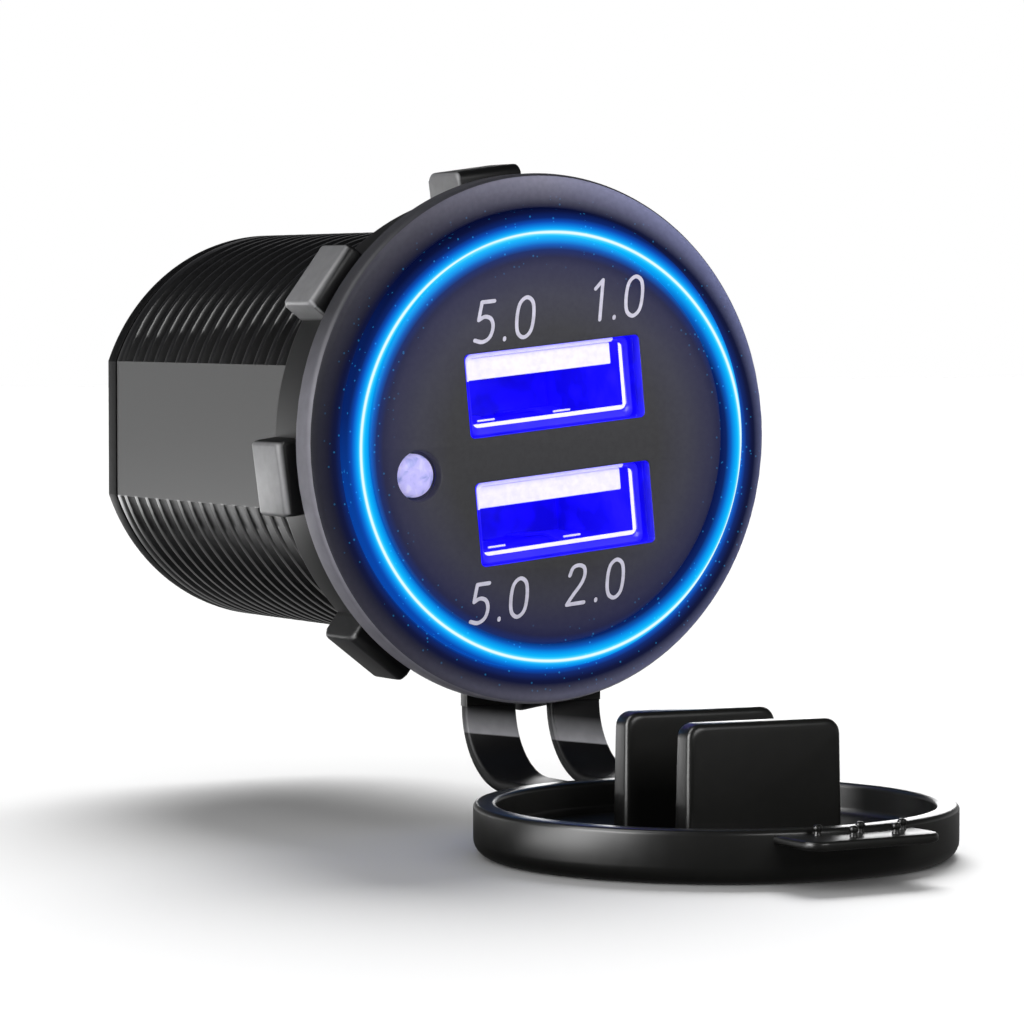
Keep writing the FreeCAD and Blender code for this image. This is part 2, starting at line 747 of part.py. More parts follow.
def make_terminal(name, side):
    """Flat blade soldered under the converter board, with a tapered and pierced outer end."""
    body = new_body(name)
    level = "Size.converter_board_top - Size.board_thickness - Size.blade_thickness"
    outline = new_sketch(body, "XY_Plane", f"{name}_outline", level=level)
    left, right = "(-Size.blade_width / 2)", "(Size.blade_width / 2)"
    root = f"({BOARD_REAR} - Size.blade_seat)"
    tip = f"({COVER_REAR} + Size.blade_reach)"
    draw_outline(
        outline,
        [
            (left, root),
            (right, root),
            (right, f"{tip} - Size.blade_tip"),
            (f"{right} - Size.blade_tip", tip),
            (f"{left} + Size.blade_tip", tip),
            (left, f"{tip} - Size.blade_tip"),
        ],
    )
    pad(body, outline, f"{name}_blade", "Size.blade_thickness")
    hole = new_sketch(body, "XY_Plane", f"{name}_hole_outline", level=level)
    draw_circle(hole, "Size.blade_hole_radius", "0", f"{tip} - Size.blade_hole_from_tip")
    pocket_through(body, hole, f"{name}_hole")
    body.setExpression("Placement.Base.x", f"{side}Size.blade_x")
    return body


def make_nut():
    """Ring nut with lugs for the fingers. Its bore clears the crests of the thread."""
    rear = f"({NUT_FRONT} + Size.nut_height)"
    chamfer = "Size.nut_chamfer"
    body = turned_body(
        "fixing_nut",
        [
            (NUT_BORE, NUT_FRONT),
            (NUT_OUTER, NUT_FRONT),
            (NUT_OUTER, f"{rear} - {chamfer}"),
            (f"{NUT_OUTER} - {chamfer}", rear),
            (NUT_BORE, rear),
        ],
    )
    section = new_sketch(body, "YZ_Plane", "lug_section")
    low = f"({NUT_OUTER} - Size.joined_depth)"
    bevel = "Size.lug_bevel"
    draw_outline(
        section,
        [
            (NUT_FRONT, low),
            (rear, low),
            (rear, f"{LUG_REACH} - {bevel}"),
            (f"{rear} - {bevel}", LUG_REACH),
            (f"{NUT_FRONT} + {bevel}", LUG_REACH),
            (NUT_FRONT, f"{LUG_REACH} - {bevel}"),
        ],
    )
    lug = pad(body, section, "lug", "Size.lug_width", symmetric=True)
    lugs = body.newObject("PartDesign::PolarPattern", "lugs")
    lugs.Originals = [lug]
    lugs.Axis = (section, ["H_Axis"])
    lugs.Angle = 360
    lugs.setExpression("Occurrences", "Size.lug_count")
    body.Tip = lugs
    set_axis(body, (0, 1, 0))
    body.setExpression("Placement.Rotation.Angle", "Size.lug_turn")
    return body


def make_cap_ring():
    """Rubber ring clamped between the flange and the nut, with a root for each strap."""
    body = new_body("cap_ring")
    ring = new_sketch(body, "XZ_Plane", "cap_ring_outline")
    draw_circle(ring, CAP_RING)
    draw_circle(ring, CAP_RING_BORE)
    pad(body, ring, "cap_ring_pad", "Size.cap_ring_thickness", back=True)
    roots = new_sketch(body, "XZ_Plane", "strap_roots")
    top = "(Size.thread_radius + Size.joined_depth)"
    size = ("Size.strap_width", f"{STRAP_ROOT} - {top}")
    for side in ("-", "+"):
        middle = f"Size.strap_x {side} Size.strap_spacing / 2"
        draw_rectangle(roots, *size, middle, f"-({STRAP_ROOT} + {top}) / 2")
    pad(body, roots, "strap_root_pad", "Size.cap_ring_thickness", back=True)
    return body


def strap_outline():
    """Corners of a strap seen from the side: down from its root, two bends, then level to the lid."""
    lean, upper, lower = "Size.strap_lean", "Size.strap_upper_bend", "Size.strap_lower_bend"
    half = "Size.strap_thickness / 2"
    start_y, start_z = "Size.cap_ring_thickness / 2", f"(-{STRAP_ROOT})"
    end_z = "(Size.lid_rim_z - Size.strap_below_rim)"
    drop = f"({start_z} - {end_z} - {upper} * sin({lean}) - {lower} * (1 - sin({lean})))"
    # centres of the two bends
    upper_y, upper_z = f"({start_y} - {upper})", start_z
    turn_y = f"({upper_y} + {upper} * cos({lean}) - {drop} * tan({lean}))"
    lower_y = f"({turn_y} - {lower} * cos({lean}))"
    lower_z = f"({end_z} + {lower})"

    def side(sign):
        """Points of one face: the upper bend's two ends, then the lower bend's two ends, then the lid."""
        near, far = f"({upper} {sign} {half})", f"({lower} {sign} {half})"
        return near, far, [
            (f"{upper_y} + {near}", upper_z),
            (f"{upper_y} + {near} * cos({lean})", f"{upper_z} - {near} * sin({lean})"),
            (f"{lower_y} + {far} * cos({lean})", f"{lower_z} - {far} * sin({lean})"),
            (lower_y, f"{lower_z} - {far}"),
            (f"Size.lid_y + {RIM_INNER}", f"{lower_z} - {far}"),
        ]

    outer_near, outer_far, outer = side("+")
    inner_near, inner_far, inner = side("-")
    corners = [
        (*outer[0], outer_near, -1),
        outer[1],
        (*outer[2], outer_far, -1),
        outer[3],
        outer[4],
        inner[4],
        (*inner[3], inner_far, 1),
        inner[2],
        (*inner[1], inner_near, 1),
        inner[0],
    ]
    return corners


def make_cap_straps():
    """Two straps from the ring down to the lid, each ending just short of the lid's wall."""
    body = new_body("cap_straps")
    side = new_sketch(body, "YZ_Plane", "strap_side", level="Size.strap_x - Size.strap_spacing / 2")
    draw_outline(side, strap_outline())
    strap = pad(body, side, "strap", "Size.strap_width", symmetric=True)
    pair = body.newObject("PartDesign::LinearPattern", "strap_pair")
    pair.Originals = [strap]
    pair.Direction = (side, ["N_Axis"])
    pair.setExpression("Length", "Size.strap_spacing")
    pair.Occurrences = 2
    body.Tip = pair
    wall = new_sketch(body, "XY_Plane", "lid_wall")
    draw_circle(wall, "Size.lid_radius + Size.lid_gap", "0", "Size.lid_y")
    pocket_through(body, wall, "lid_clearance")
    return body


def make_cap_lid():
    """Rubber lid, open side up, with a plug for each port and a tab with grip nubs.

    It is drawn about its own upright axis, with zero height at the top of its rim.
    """
    body = new_body("cap_lid")
    low, rim = "(-Size.lid_height)", "Size.rim_chamfer"
    floor = "(-Size.lid_hollow)"
    profile = new_sketch(body, "XZ_Plane", "lid_profile")
    draw_outline(
        profile,
        [
            ("0", low),
            ("Size.lid_radius - Size.lid_bevel", low),
            ("Size.lid_radius - Size.lid_bevel_break", f"{low} + Size.lid_bevel_break"),
            ("Size.lid_radius", f"{low} + Size.lid_bevel"),
            ("Size.lid_radius", f"-{rim}"),
            (f"Size.lid_radius - {rim}", "0"),
            (f"{RIM_INNER} + {rim}", "0"),
            (RIM_INNER, f"-{rim}"),
            (RIM_INNER, floor),
            ("0", floor),
        ],
    )
    revolve(body, profile, "lid_turned")

    width = f"({SHELL_BORE_WIDTH} - 2 * Size.plug_side_gap)"
    gaps = "(Size.plug_over_gap + Size.plug_under_gap)"
    thickness = f"({TONGUE_BOTTOM} + {SHELL_BORE_HEIGHT} / 2 - {gaps})"
    below_centre = f"({SHELL_BORE_HEIGHT} / 2 - Size.plug_under_gap - {thickness} / 2)"
    for name, side in (("front_plug", ""), ("rear_plug", "-")):
        half = f"({side}Size.port_spacing / 2 - {below_centre})"
        across = f"Size.face_offset_x - {half} * sin(Size.face_turn)"
        along = f"Size.lid_closed_z - Size.face_offset_z - {half} * cos(Size.face_turn)"
        turn = (across, along, "-Size.face_turn")
        outline = new_sketch(body, "XY_Plane", f"{name}_outline", level=floor, turn=turn)
        draw_rectangle(outline, width, thickness)
        plug = pad(body, outline, name, "Size.lid_hollow + Size.plug_rise")
        plug.setExpression("TaperAngle", "-Size.plug_taper")
    bevel_edges(
        body, plug, "plug_bevels", "Size.plug_chamfer",
        lambda edge: edge.CenterOfMass.z > 0 and edge.Curve.TypeId == "Part::GeomLine",
    )

    tab_top = "(-Size.tab_below_rim)"
    left, right = "(Size.tab_x - Size.tab_width / 2)", "(Size.tab_x + Size.tab_width / 2)"
    reach = "(Size.lid_radius + Size.tab_reach)"
    corner = "Size.tab_corner"
    tab = new_sketch(body, "XY_Plane", "tab_outline", level=tab_top)
    root = f"(-{RIM_INNER})"
    draw_outline(
        tab,
        [
            (left, root),
            (left, f"{corner} - {reach}", corner, 1),
            (f"{left} + {corner}", f"-{reach}"),
            (f"{right} - {corner}", f"-{reach}", corner, 1),
            (right, f"{corner} - {reach}"),
            (right, root),
        ],
    )
    pad(body, tab, "tab", "Size.tab_thickness", back=True)

    nubs = new_sketch(body, "XY_Plane", "nub_circles", level=tab_top)
    rows = (("Size.nub_inner_row", ("-1", "0", "1")), ("Size.nub_outer_row", ("-0.5", "0.5")))
    for row, places in rows:
        for place in places:
            middle = f"Size.nub_x + ({place}) * Size.nub_spacing"
            draw_hexagon(nubs, "Size.nub_radius", middle, f"-(Size.lid_radius + {row})")
    pad(body, nubs, "nubs", "Size.nub_height")
    body.setExpression("Placement.Base.y", "Size.lid_y")
    body.setExpression("Placement.Base.z", "Size.lid_rim_z")
    return body


def make_parts():
    parts = [
        make_housing(),
        make_light_ring(),
        make_face_plate(),
        make_indicator_lamp(),
        make_ring_board(),
        make_ring_lamps(),
        make_port_board(),
        make_converter_board(),
        make_board_header(),
        make_inductor(),
        make_capacitor("output_capacitor", 1),
        make_capacitor("input_capacitor", 2),
        make_converter_chip(),
        make_diode(),
        make_rear_cover(),
        make_terminal("terminal_positive", "-"),
        make_terminal("terminal_negative", ""),
        make_nut(),
        make_cap_ring(),
        make_cap_straps(),
        make_cap_lid(),
    ]
    for place, side in (("upper", ""), ("lower", "-")):
        parts.append(make_shell(f"usb_shell_{place}", side))
        parts.append(make_insulator(f"usb_insulator_{place}", side))
        parts.append(make_contacts(f"usb_contacts_{place}", side))
    return parts


def check_document():
    """Stop with the name of any object that failed."""
    for item in doc.Objects:
        if "Invalid" in item.State or "Error" in item.State:
            raise RuntimeError(f"{item.Label} failed: {item.State}")


def check_and_export(parts):
    os.makedirs("parts", exist_ok=True)
    for part in parts:
        if part.Shape.isNull() or not part.Shape.isValid():
            raise RuntimeError(f"{part.Label} has no valid shape")
    for part in parts:
        part.Shape.exportStep(f"parts/{part.Label}.step")
        print(f"{part.Label}: {len(part.Shape.Solids)} solids, {part.Shape.Volume:.1f} mm3")


make_sheet()
PARTS = make_parts()
doc.recompute()
check_document()
check_and_export(PARTS)
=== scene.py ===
import math

import bmesh
import bpy
from mathutils import Matrix, Vector


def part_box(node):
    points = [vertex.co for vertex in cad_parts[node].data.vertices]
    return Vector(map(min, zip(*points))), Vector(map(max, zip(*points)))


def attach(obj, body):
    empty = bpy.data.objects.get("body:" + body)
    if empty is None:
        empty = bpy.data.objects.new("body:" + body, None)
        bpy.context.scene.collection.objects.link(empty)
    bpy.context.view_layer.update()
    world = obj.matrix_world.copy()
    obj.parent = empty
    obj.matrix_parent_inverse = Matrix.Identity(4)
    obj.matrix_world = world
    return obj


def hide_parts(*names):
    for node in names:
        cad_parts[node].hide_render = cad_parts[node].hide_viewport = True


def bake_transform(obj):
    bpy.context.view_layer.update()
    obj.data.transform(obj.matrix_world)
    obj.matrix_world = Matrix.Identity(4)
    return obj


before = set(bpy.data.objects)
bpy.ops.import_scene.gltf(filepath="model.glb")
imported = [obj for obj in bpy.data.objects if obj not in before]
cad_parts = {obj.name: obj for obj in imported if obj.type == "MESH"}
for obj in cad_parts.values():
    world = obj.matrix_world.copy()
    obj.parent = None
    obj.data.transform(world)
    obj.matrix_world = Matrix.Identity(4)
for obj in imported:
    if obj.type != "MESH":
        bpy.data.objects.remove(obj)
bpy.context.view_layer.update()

# %% [markdown]
# A charging socket for a dashboard, seen from its front left, with its rubber cap hanging open.
# The frame that was just loaded holds every piece at its real size. This lesson gives each visible
# piece a finely rounded mesh and a finish like the real one's. The sizes come from the frame's own
# boxes, so a change there is followed here. Lengths are written in millimetres and scaled once.

# %% Sizes read from the frame
MM = 0.001


def box_mm(node):
    """Lowest and highest corner of a node, in millimetres."""
    low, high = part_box(node)
    return low / MM, high / MM


housing_low, housing_high = box_mm("housing")
ring_low, ring_high = box_mm("light_ring")
plate_low, plate_high = box_mm("face_plate")
nut_low, nut_high = box_mm("fixing_nut")
lid_low, lid_high = box_mm("cap_lid")
FLANGE_RADIUS = housing_high.x
FLANGE_FRONT = housing_low.y
BARREL_REAR = housing_high.y
RING_FRONT = ring_low.y
RING_RADIUS = ring_high.x
PLATE_FRONT = plate_low.y
PLATE_RADIUS = plate_high.x
print("flange radius", FLANGE_RADIUS, "barrel rear", BARREL_REAR, "ring front", RING_FRONT)

# %% [markdown]
# Most of these pieces were turned, pressed or moulded in simple tools, so each one is a stack of
# outlines: rings of points with a skin between them. A rounded edge is then only a few more rings.
# A modifier could round the edges too, but rings keep the mesh even and cost nothing later.


# %% Outlines and skins
TOUCHING = 1e-7


def rounded(corners, steps):
    """Closed outline through corners (a, b, radius), each corner with a radius turned into an arc."""
    points = []
    for i, (a, b, radius) in enumerate(corners):
        here = Vector((a, b))
        if radius <= 0:
            points.append(here)
            continue
        back = (Vector(corners[i - 1][:2]) - here).normalized()
        ahead = (Vector(corners[(i + 1) % len(corners)][:2]) - here).normalized()
        half = back.angle(ahead) / 2
        centre = here + (back + ahead).normalized() * radius / math.sin(half)
        start = here + back * radius / math.tan(half) - centre
        end = here + ahead * radius / math.tan(half) - centre
        turn = start.angle_signed(end)
        for k in range(steps + 1):
            points.append(centre + Matrix.Rotation(-turn * k / steps, 2) @ start)
    return points


def rectangle(left, right, low, high, radius, steps=4):
    """Closed outline of a rectangle with rounded corners."""
    return rounded([(left, low, radius), (right, low, radius), (right, high, radius), (left, high, radius)], steps)


def cleaned(mesh):
    """Mesh without doubled points and empty faces, and with its faces turned outwards."""
    bmesh.ops.remove_doubles(mesh, verts=mesh.verts, dist=TOUCHING)
    bmesh.ops.dissolve_degenerate(mesh, edges=mesh.edges, dist=TOUCHING)
    bmesh.ops.recalc_face_normals(mesh, faces=mesh.faces)
    return mesh


def skin(rings, loop=False):
    """Mesh through rings of points in millimetres; with loop the last ring joins the first, else both get a cap."""
    mesh = bmesh.new()
    rows = [[mesh.verts.new(Vector(p) * MM) for p in ring] for ring in rings]
    count = len(rows[0])
    pairs = list(zip(rows, rows[1:]))
    if loop:
        pairs.append((rows[-1], rows[0]))
    for near, far in pairs:
        for k in range(count):
            after = (k + 1) % count
            mesh.faces.new((near[k], near[after], far[after], far[k]))
    if not loop:
        mesh.faces.new(rows[0][::-1])
        mesh.faces.new(rows[-1])
    return cleaned(mesh)


def turned(profile, steps, centre=(0.0, 0.0)):
    """Rings of a closed profile of (radius, level) turned about the barrel's axis."""
    angles = [2 * math.pi * k / steps for k in range(steps)]
    return [
        [(centre[0] + radius * math.cos(a), level, centre[1] + radius * math.sin(a)) for a in angles]
        for radius, level in profile
    ]


print("a rounded square has", len(rectangle(-1, 1, -1, 1, 0.2)), "points")

# %% [markdown]
# A piece becomes part of the object when it rides on a body, hides the solids it stands for, and
# gets its finishes. One function does all of that, so that nothing is forgotten.

# %% Adding a piece
SMOOTH_ANGLE = math.radians(32)


def placed(name, data):
    """Object in the scene that holds some data."""
    made = bpy.data.objects.new(name, data)
    bpy.context.scene.collection.objects.link(made)
    return made


def add_piece(name, mesh, materials, body="root", stands_for=(), smooth=True):
    """Object from a bmesh, with its materials and its body; the solids it stands for are hidden."""
    data = bpy.data.meshes.new(name)
    mesh.to_mesh(data)
    mesh.free()
    piece = placed(name, data)
    for material in materials:
        data.materials.append(material)
    if smooth:
        data.shade_smooth()
        data.set_sharp_from_angle(angle=SMOOTH_ANGLE)
    if body:
        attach(piece, body)
    if stands_for:
        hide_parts(*stands_for)
    print(name, len(data.polygons), "faces")
    return piece


print("edges sharper than", round(math.degrees(SMOOTH_ANGLE)), "degrees stay sharp")

# %% [markdown]
# Colours are written as the eye sees them, as sRGB hex values, and turned to linear light once.
# A material is a small graph of nodes, so one function adds a node and links it.


# %% Colours and nodes
def linear(hex_colour):
    """Linear colour of an sRGB hex value, opaque."""
    parts = [int(hex_colour[i : i + 2], 16) / 255 for i in (1, 3, 5)]
    return [c / 12.92 if c <= 0.04045 else ((c + 0.055) / 1.055) ** 2.4 for c in parts] + [1.0]


def fill(tree, node, **sockets):
    """Gives each socket, by name or as _0, _1 and so on, a value or a link from an output."""
    for key, value in sockets.items():
        target = node.inputs[int(key[1:]) if key[1:].isdigit() else key.replace("_", " ")]
        if isinstance(value, bpy.types.NodeSocket):
            tree.links.new(value, target)
        else:
            target.default_value = value
    return node


def add(tree, kind, settings=None, **sockets):
    """New node with its settings and its filled sockets."""
    made = tree.nodes.new(kind)
    for key, value in (settings or {}).items():
        setattr(made, key, value)
    return fill(tree, made, **sockets)


def new_material(name):
    """Empty node material with a Principled shader on its output."""
    material = bpy.data.materials.new(name)
    material.use_nodes = True
    tree = material.node_tree
    tree.nodes.clear()
    shader = add(tree, "ShaderNodeBsdfPrincipled")
    add(tree, "ShaderNodeOutputMaterial", Surface=shader.outputs[0])
    return material, tree, shader


print("black plastic in linear light", [round(c, 4) for c in linear("#151517")])

# %% [markdown]
# Every pattern is laid out in millimetres on the piece itself, so it stays with the piece when that
# moves. The helpers below read the place, do sums, and turn a number into a colour.


# %% Places, sums and ramps
def per_metre(size_mm):
    """Texture scale at which a pattern repeats every size_mm."""
    return 1 / (size_mm * MM)


def math_node(tree, operation, first, second, third=0.0):
    """Output of a sum of numbers."""
    return add(tree, "ShaderNodeMath", {"operation": operation}, _0=first, _1=second, _2=third).outputs[0]


def vector_node(tree, operation, first, second=(0, 0, 0)):
    """Output of a sum of vectors: a number for a length, a distance or a dot product."""
    made = add(tree, "ShaderNodeVectorMath", {"operation": operation}, _0=first, _1=second)
    return made.outputs["Value" if operation in ("LENGTH", "DISTANCE", "DOT_PRODUCT") else "Vector"]


def remap(tree, value, low, high, first=0.0, last=1.0, kind="LINEAR"):
    """Output that runs from first to last while a value runs from low to high."""
    made = add(
        tree, "ShaderNodeMapRange", {"interpolation_type": kind}, _0=value, _1=low, _2=high, _3=first, _4=last
    )
    return made.outputs[0]


def times(tree, colour, factor):
    """Output with a colour scaled by a number."""
    return add(tree, "ShaderNodeVectorMath", {"operation": "SCALE"}, _0=colour, Scale=factor).outputs[0]


def object_place(tree):
    """Output with the place on the object, in metres."""
    return add(tree, "ShaderNodeTexCoord").outputs["Object"]


def along(tree, axis):
    """Output with the place along one axis of the object, in millimetres."""
    axes = add(tree, "ShaderNodeSeparateXYZ", Vector=object_place(tree))
    return math_node(tree, "MULTIPLY", axes.outputs[axis], 1 / MM)


def noise(tree, size_mm, detail, distortion=0.0):
    """Output of a noise whose grains are size_mm wide."""
    scale = per_metre(size_mm)
    return add(
        tree, "ShaderNodeTexNoise", Vector=object_place(tree), Scale=scale, Detail=detail, Distortion=distortion
    ).outputs[0]


def ramp(tree, value, stops, smooth="LINEAR"):
    """Colour over a value from stops of (value, hex colour)."""
    low, high = stops[0][0], stops[-1][0]
    made = add(tree, "ShaderNodeValToRGB", Fac=remap(tree, value, low, high))
    made.color_ramp.interpolation = smooth
    elements = made.color_ramp.elements
    while len(elements) < len(stops):
        elements.new(0.5)
    for element, (at, _) in zip(elements, stops):
        element.position = (at - low) / (high - low)
    for element, (_, colour) in zip(elements, stops):
        element.color = linear(colour)
    return made.outputs[0]


def mix(tree, factor, first, second, kind="MIX"):
    """Mixed colour of two colours or outputs."""
    settings = {"data_type": "RGBA", "blend_type": kind}
    return add(tree, "ShaderNodeMix", settings, _0=factor, _6=first, _7=second).outputs[2]


print("a grain of 0.5 mm has a scale of", round(per_metre(0.5)))

# %% [markdown]
# The housing is one moulding: a flange with a threaded barrel behind it. The barrel is a grid of
# columns round the axis and rows along it, and each point's radius follows a right-hand thread.
# The two flats have no thread, so their columns lie on a plane, and a doubled column at each edge
# of a flat keeps the step sharp. A screw modifier makes such a thread too, but not the flats.


# %% Housing
THREAD_RADIUS, THREAD_DEPTH, THREAD_PITCH, THREAD_CREST = 14.75, 0.75, 1.8, 0.5
THREAD_START, THREAD_END = 1.6, BARREL_REAR - 2.7
FLAT = 13.84
FLAT_HALF_ANGLE = math.acos(FLAT / THREAD_RADIUS)
SEAM = BARREL_REAR - 1.95


def ease(x):
    """Smooth step from 0 to 1."""
    x = min(max(x, 0.0), 1.0)
    return x * x * (3 - 2 * x)


def thread_radius(angle, level):
    """Radius of the threaded barrel at an angle and a level."""
    phase = ((level - THREAD_START) / THREAD_PITCH + angle / (2 * math.pi)) % 1.0
    width = 1 - THREAD_CREST / THREAD_PITCH
    groove = 0.5 - 0.5 * math.cos(2 * math.pi * phase / width) if phase < width else 0.0
    ends = ease((level - THREAD_START) / 0.9) * ease((THREAD_END - level) / 0.9)
    return THREAD_RADIUS - THREAD_DEPTH * groove**0.8 * ends


def barrel_columns():
    """Angles round the axis, each marked as on a flat or on the thread."""
    columns = []
    for middle in (0.0, math.pi):
        for share in (-1, -0.985, -0.9, -0.7, -0.45, -0.2, 0, 0.2, 0.45, 0.7, 0.9, 0.985, 1):
            columns.append((middle + FLAT_HALF_ANGLE * share, True))
        count = 92
        span = math.pi - 2 * FLAT_HALF_ANGLE
        for k in range(count + 1):
            inner = min(max(k / count, 0.0002), 1 - 0.0002)
            columns.append((middle + FLAT_HALF_ANGLE + span * inner, False))
    return columns


def barrel_point(angle, flat, level, inset=0.0):
    """Point of the barrel's skin."""
    if flat:
        radius = (FLAT - inset) / abs(math.cos(angle))
    else:
        radius = thread_radius(angle, level) - inset
    return (radius * math.cos(angle), level, radius * math.sin(angle))


print("a flat spans", round(2 * math.degrees(FLAT_HALF_ANGLE), 1), "degrees")

# %% [markdown]
# The rings of the housing run from the rear of the bore over the rim and along the barrel, round the
# flange, and into the recess of its face, where the skin closes on itself. A groove near the rear
# marks the seam of the moulded end.

# %% Skin of the housing
BORE, COUNTERBORE = 12.2, 13.4
RECESS, RECESS_FLOOR = 16.05, -1.0
FLANGE_EDGE = 0.62
ROW_HEIGHT = 0.15
columns = barrel_columns()


def round_ring(radius, level):
    """Ring of one radius with a point on each column of the barrel."""
    return [(radius * math.cos(a), level, radius * math.sin(a)) for a, _ in columns]


rim = [(BORE, BARREL_REAR - 0.25), (BORE + 0.07, BARREL_REAR - 0.07), (BORE + 0.25, BARREL_REAR)]
rings = [round_ring(radius, level) for radius, level in rim]
for inset, level in [(0.75, 0.0), (0.45, 0.05), (0.18, 0.22), (0.04, 0.5), (0.0, 0.8)]:
    rings.append([barrel_point(a, flat, BARREL_REAR - level, inset) for a, flat in columns])
for step, inset in [(0.2, 0.0), (0.12, 0.03), (0.09, 0.3), (-0.09, 0.3), (-0.12, 0.03), (-0.2, 0.0)]:
    rings.append([barrel_point(a, flat, SEAM + step, inset) for a, flat in columns])
steps = round((THREAD_END + 0.1) / ROW_HEIGHT)
for k in range(steps + 1):
    level = (THREAD_END + 0.1) * (1 - k / steps)
    rings.append([barrel_point(a, flat, level) for a, flat in columns])
flange = [(FLANGE_RADIUS - 0.3, 0.0), (FLANGE_RADIUS - 0.09, -0.09), (FLANGE_RADIUS, -0.3)]
for k in range(9):
    turn = math.pi / 2 * k / 8
    out, forward = FLANGE_EDGE * (math.cos(turn) - 1), FLANGE_EDGE * (1 - math.sin(turn))
    flange.append((FLANGE_RADIUS + out, FLANGE_FRONT + forward))
flange += [(17.2, FLANGE_FRONT), (RECESS + 0.35, FLANGE_FRONT), (RECESS + 0.08, FLANGE_FRONT + 0.05)]
flange += [(RECESS, FLANGE_FRONT + 0.25), (RECESS, RECESS_FLOOR), (COUNTERBORE, RECESS_FLOOR)]
flange += [(COUNTERBORE, 1.4), (BORE, 1.4)]
rings += [round_ring(radius, level) for radius, level in flange]
housing_mesh = skin(rings, loop=True)
print("housing triangles", 2 * len(housing_mesh.faces))

# %% [markdown]
# The light ring and the nut are turned too. Each edge that a hand could meet is rounded, because a
# moulding never has a knife edge. The nut's eight lugs are blocks that stand on its band, so that
# fingers or a spanner can turn it.


# %% Light ring and nut
def closed_turn(profile, steps=192):
    """Mesh of a closed profile of (radius, level) turned about the barrel's axis."""
    return skin(turned(profile, steps), loop=True)


RIM_INNER = RING_RADIUS - 1.7
rim = rounded(
    [
        (12.3, -1.0, 0.05), (12.3, -1.9, 0.05), (RIM_INNER, -1.9, 0.05),
        (RIM_INNER, RING_FRONT, 0.3), (RING_RADIUS, RING_FRONT, 0.3), (RING_RADIUS, -1.0, 0.05),
    ],
    7,
)
light_ring_mesh = closed_turn(rim)

NUT_RADIUS, NUT_FRONT, NUT_REAR = 17.3, nut_low.y, nut_high.y
LUG_REACH, LUG_WIDTH, LUG_TURN, LUG_COUNT = 19.1, 5.2, -7.8, 8
band = rounded(
    [
        (14.9, NUT_FRONT, 0.15), (NUT_RADIUS, NUT_FRONT, 0.15),
        (NUT_RADIUS, NUT_REAR, 0.45), (14.9, NUT_REAR, 0.35),
    ],
    5,
)
nut_mesh = closed_turn(band)


def block(outline, low, high, edge, place):
    """Prism of an outline between two levels, with rounded rims; place turns (a, b, level) into a point."""
    middle = sum((Vector(p) for p in outline), Vector((0, 0))) / len(outline)
    rings = []
    for k in range(5):
        turn = math.pi / 2 * k / 4
        rings.append((edge * (1 - math.sin(turn)), low + edge * (1 - math.cos(turn))))
    rings += [(inset, high + low - level) for inset, level in reversed(rings)]
    made = []
    for inset, level in rings:
        ring = []
        for point in outline:
            away = Vector(point) - middle
            a, b = (side * (1 - inset / max(abs(side), 1e-6, inset)) for side in away)
            ring.append(place(middle.x + a, middle.y + b, level))
        made.append(ring)
    return skin(made)


def join(target, other):
    """Adds a mesh to another."""
    data = bpy.data.meshes.new("joined")
    other.to_mesh(data)
    other.free()
    target.from_mesh(data)
    bpy.data.meshes.remove(data)


lug_outline = rounded(
    [
        (NUT_FRONT, NUT_RADIUS - 0.9, 0), (NUT_REAR, NUT_RADIUS - 0.9, 0),
        (NUT_REAR, LUG_REACH, 0.75), (NUT_FRONT, LUG_REACH, 0.6),
    ],
    6,
)


def lug_place(turn):
    """Function that turns (level, radius, across) into a point of the lug at an angle."""
    c, s = math.cos(turn), math.sin(turn)
    return lambda level, radius, across: (across * c + radius * s, level, radius * c - across * s)


for k in range(LUG_COUNT):
    place = lug_place(math.radians(LUG_TURN + 360 / LUG_COUNT * k))
    join(nut_mesh, block(lug_outline, -LUG_WIDTH / 2, LUG_WIDTH / 2, 0.32, place))
print("nut triangles", 2 * len(nut_mesh.faces))

# %% [markdown]
# The face plate has two windows and a round hole. A flat curve with its holes can be extruded and
# bevelled in one go, which gives the thin rounded rim that a moulded plate has round each opening.
# Booleans on a thick disc would give the same cuts, but no soft rims. The plate is thin where it
# lies on the light ring, and a boss behind it carries the same openings further in.


# %% Plates with openings
FACE_X, FACE_Z, FACE_TURN = 0.95, -0.72, math.radians(5.6)
PORT_SPACING, PORT_WIDTH, PORT_HEIGHT, PORT_CORNER = 8.9, 14.2, 5.8, 0.35
LAMP_X, LAMP_Z, LAMP_HOLE = -10.35, -2.33, 1.72
PLATE_EDGE, PLATE_STEP, BOSS_RADIUS, BOSS_REAR = 0.16, -1.9, 12.1, -0.5


def face_point(across, up):
    """Point (x, z) on the face from coordinates along the turned ports."""
    c, s = math.cos(FACE_TURN), math.sin(FACE_TURN)
    return FACE_X + across * c - up * s, FACE_Z + across * s + up * c


def on_face(x, z):
    """Coordinates along the turned ports of a point on the face."""
    c, s = math.cos(FACE_TURN), math.sin(FACE_TURN)
    return (x - FACE_X) * c + (z - FACE_Z) * s, (z - FACE_Z) * c - (x - FACE_X) * s


def circle(x, z, radius, steps):
    """Points (x, z) of a circle."""
    angles = [2 * math.pi * k / steps for k in range(steps)]
    return [(x + radius * math.cos(a), z + radius * math.sin(a)) for a in angles]


def port_outline(side):
    """Points (x, z) of the window for the upper (1) or lower (-1) port."""
    w, h = PORT_WIDTH / 2, PORT_HEIGHT / 2
    return [face_point(p.x, p.y + side * PORT_SPACING / 2) for p in rectangle(-w, w, -h, h, PORT_CORNER, 5)]


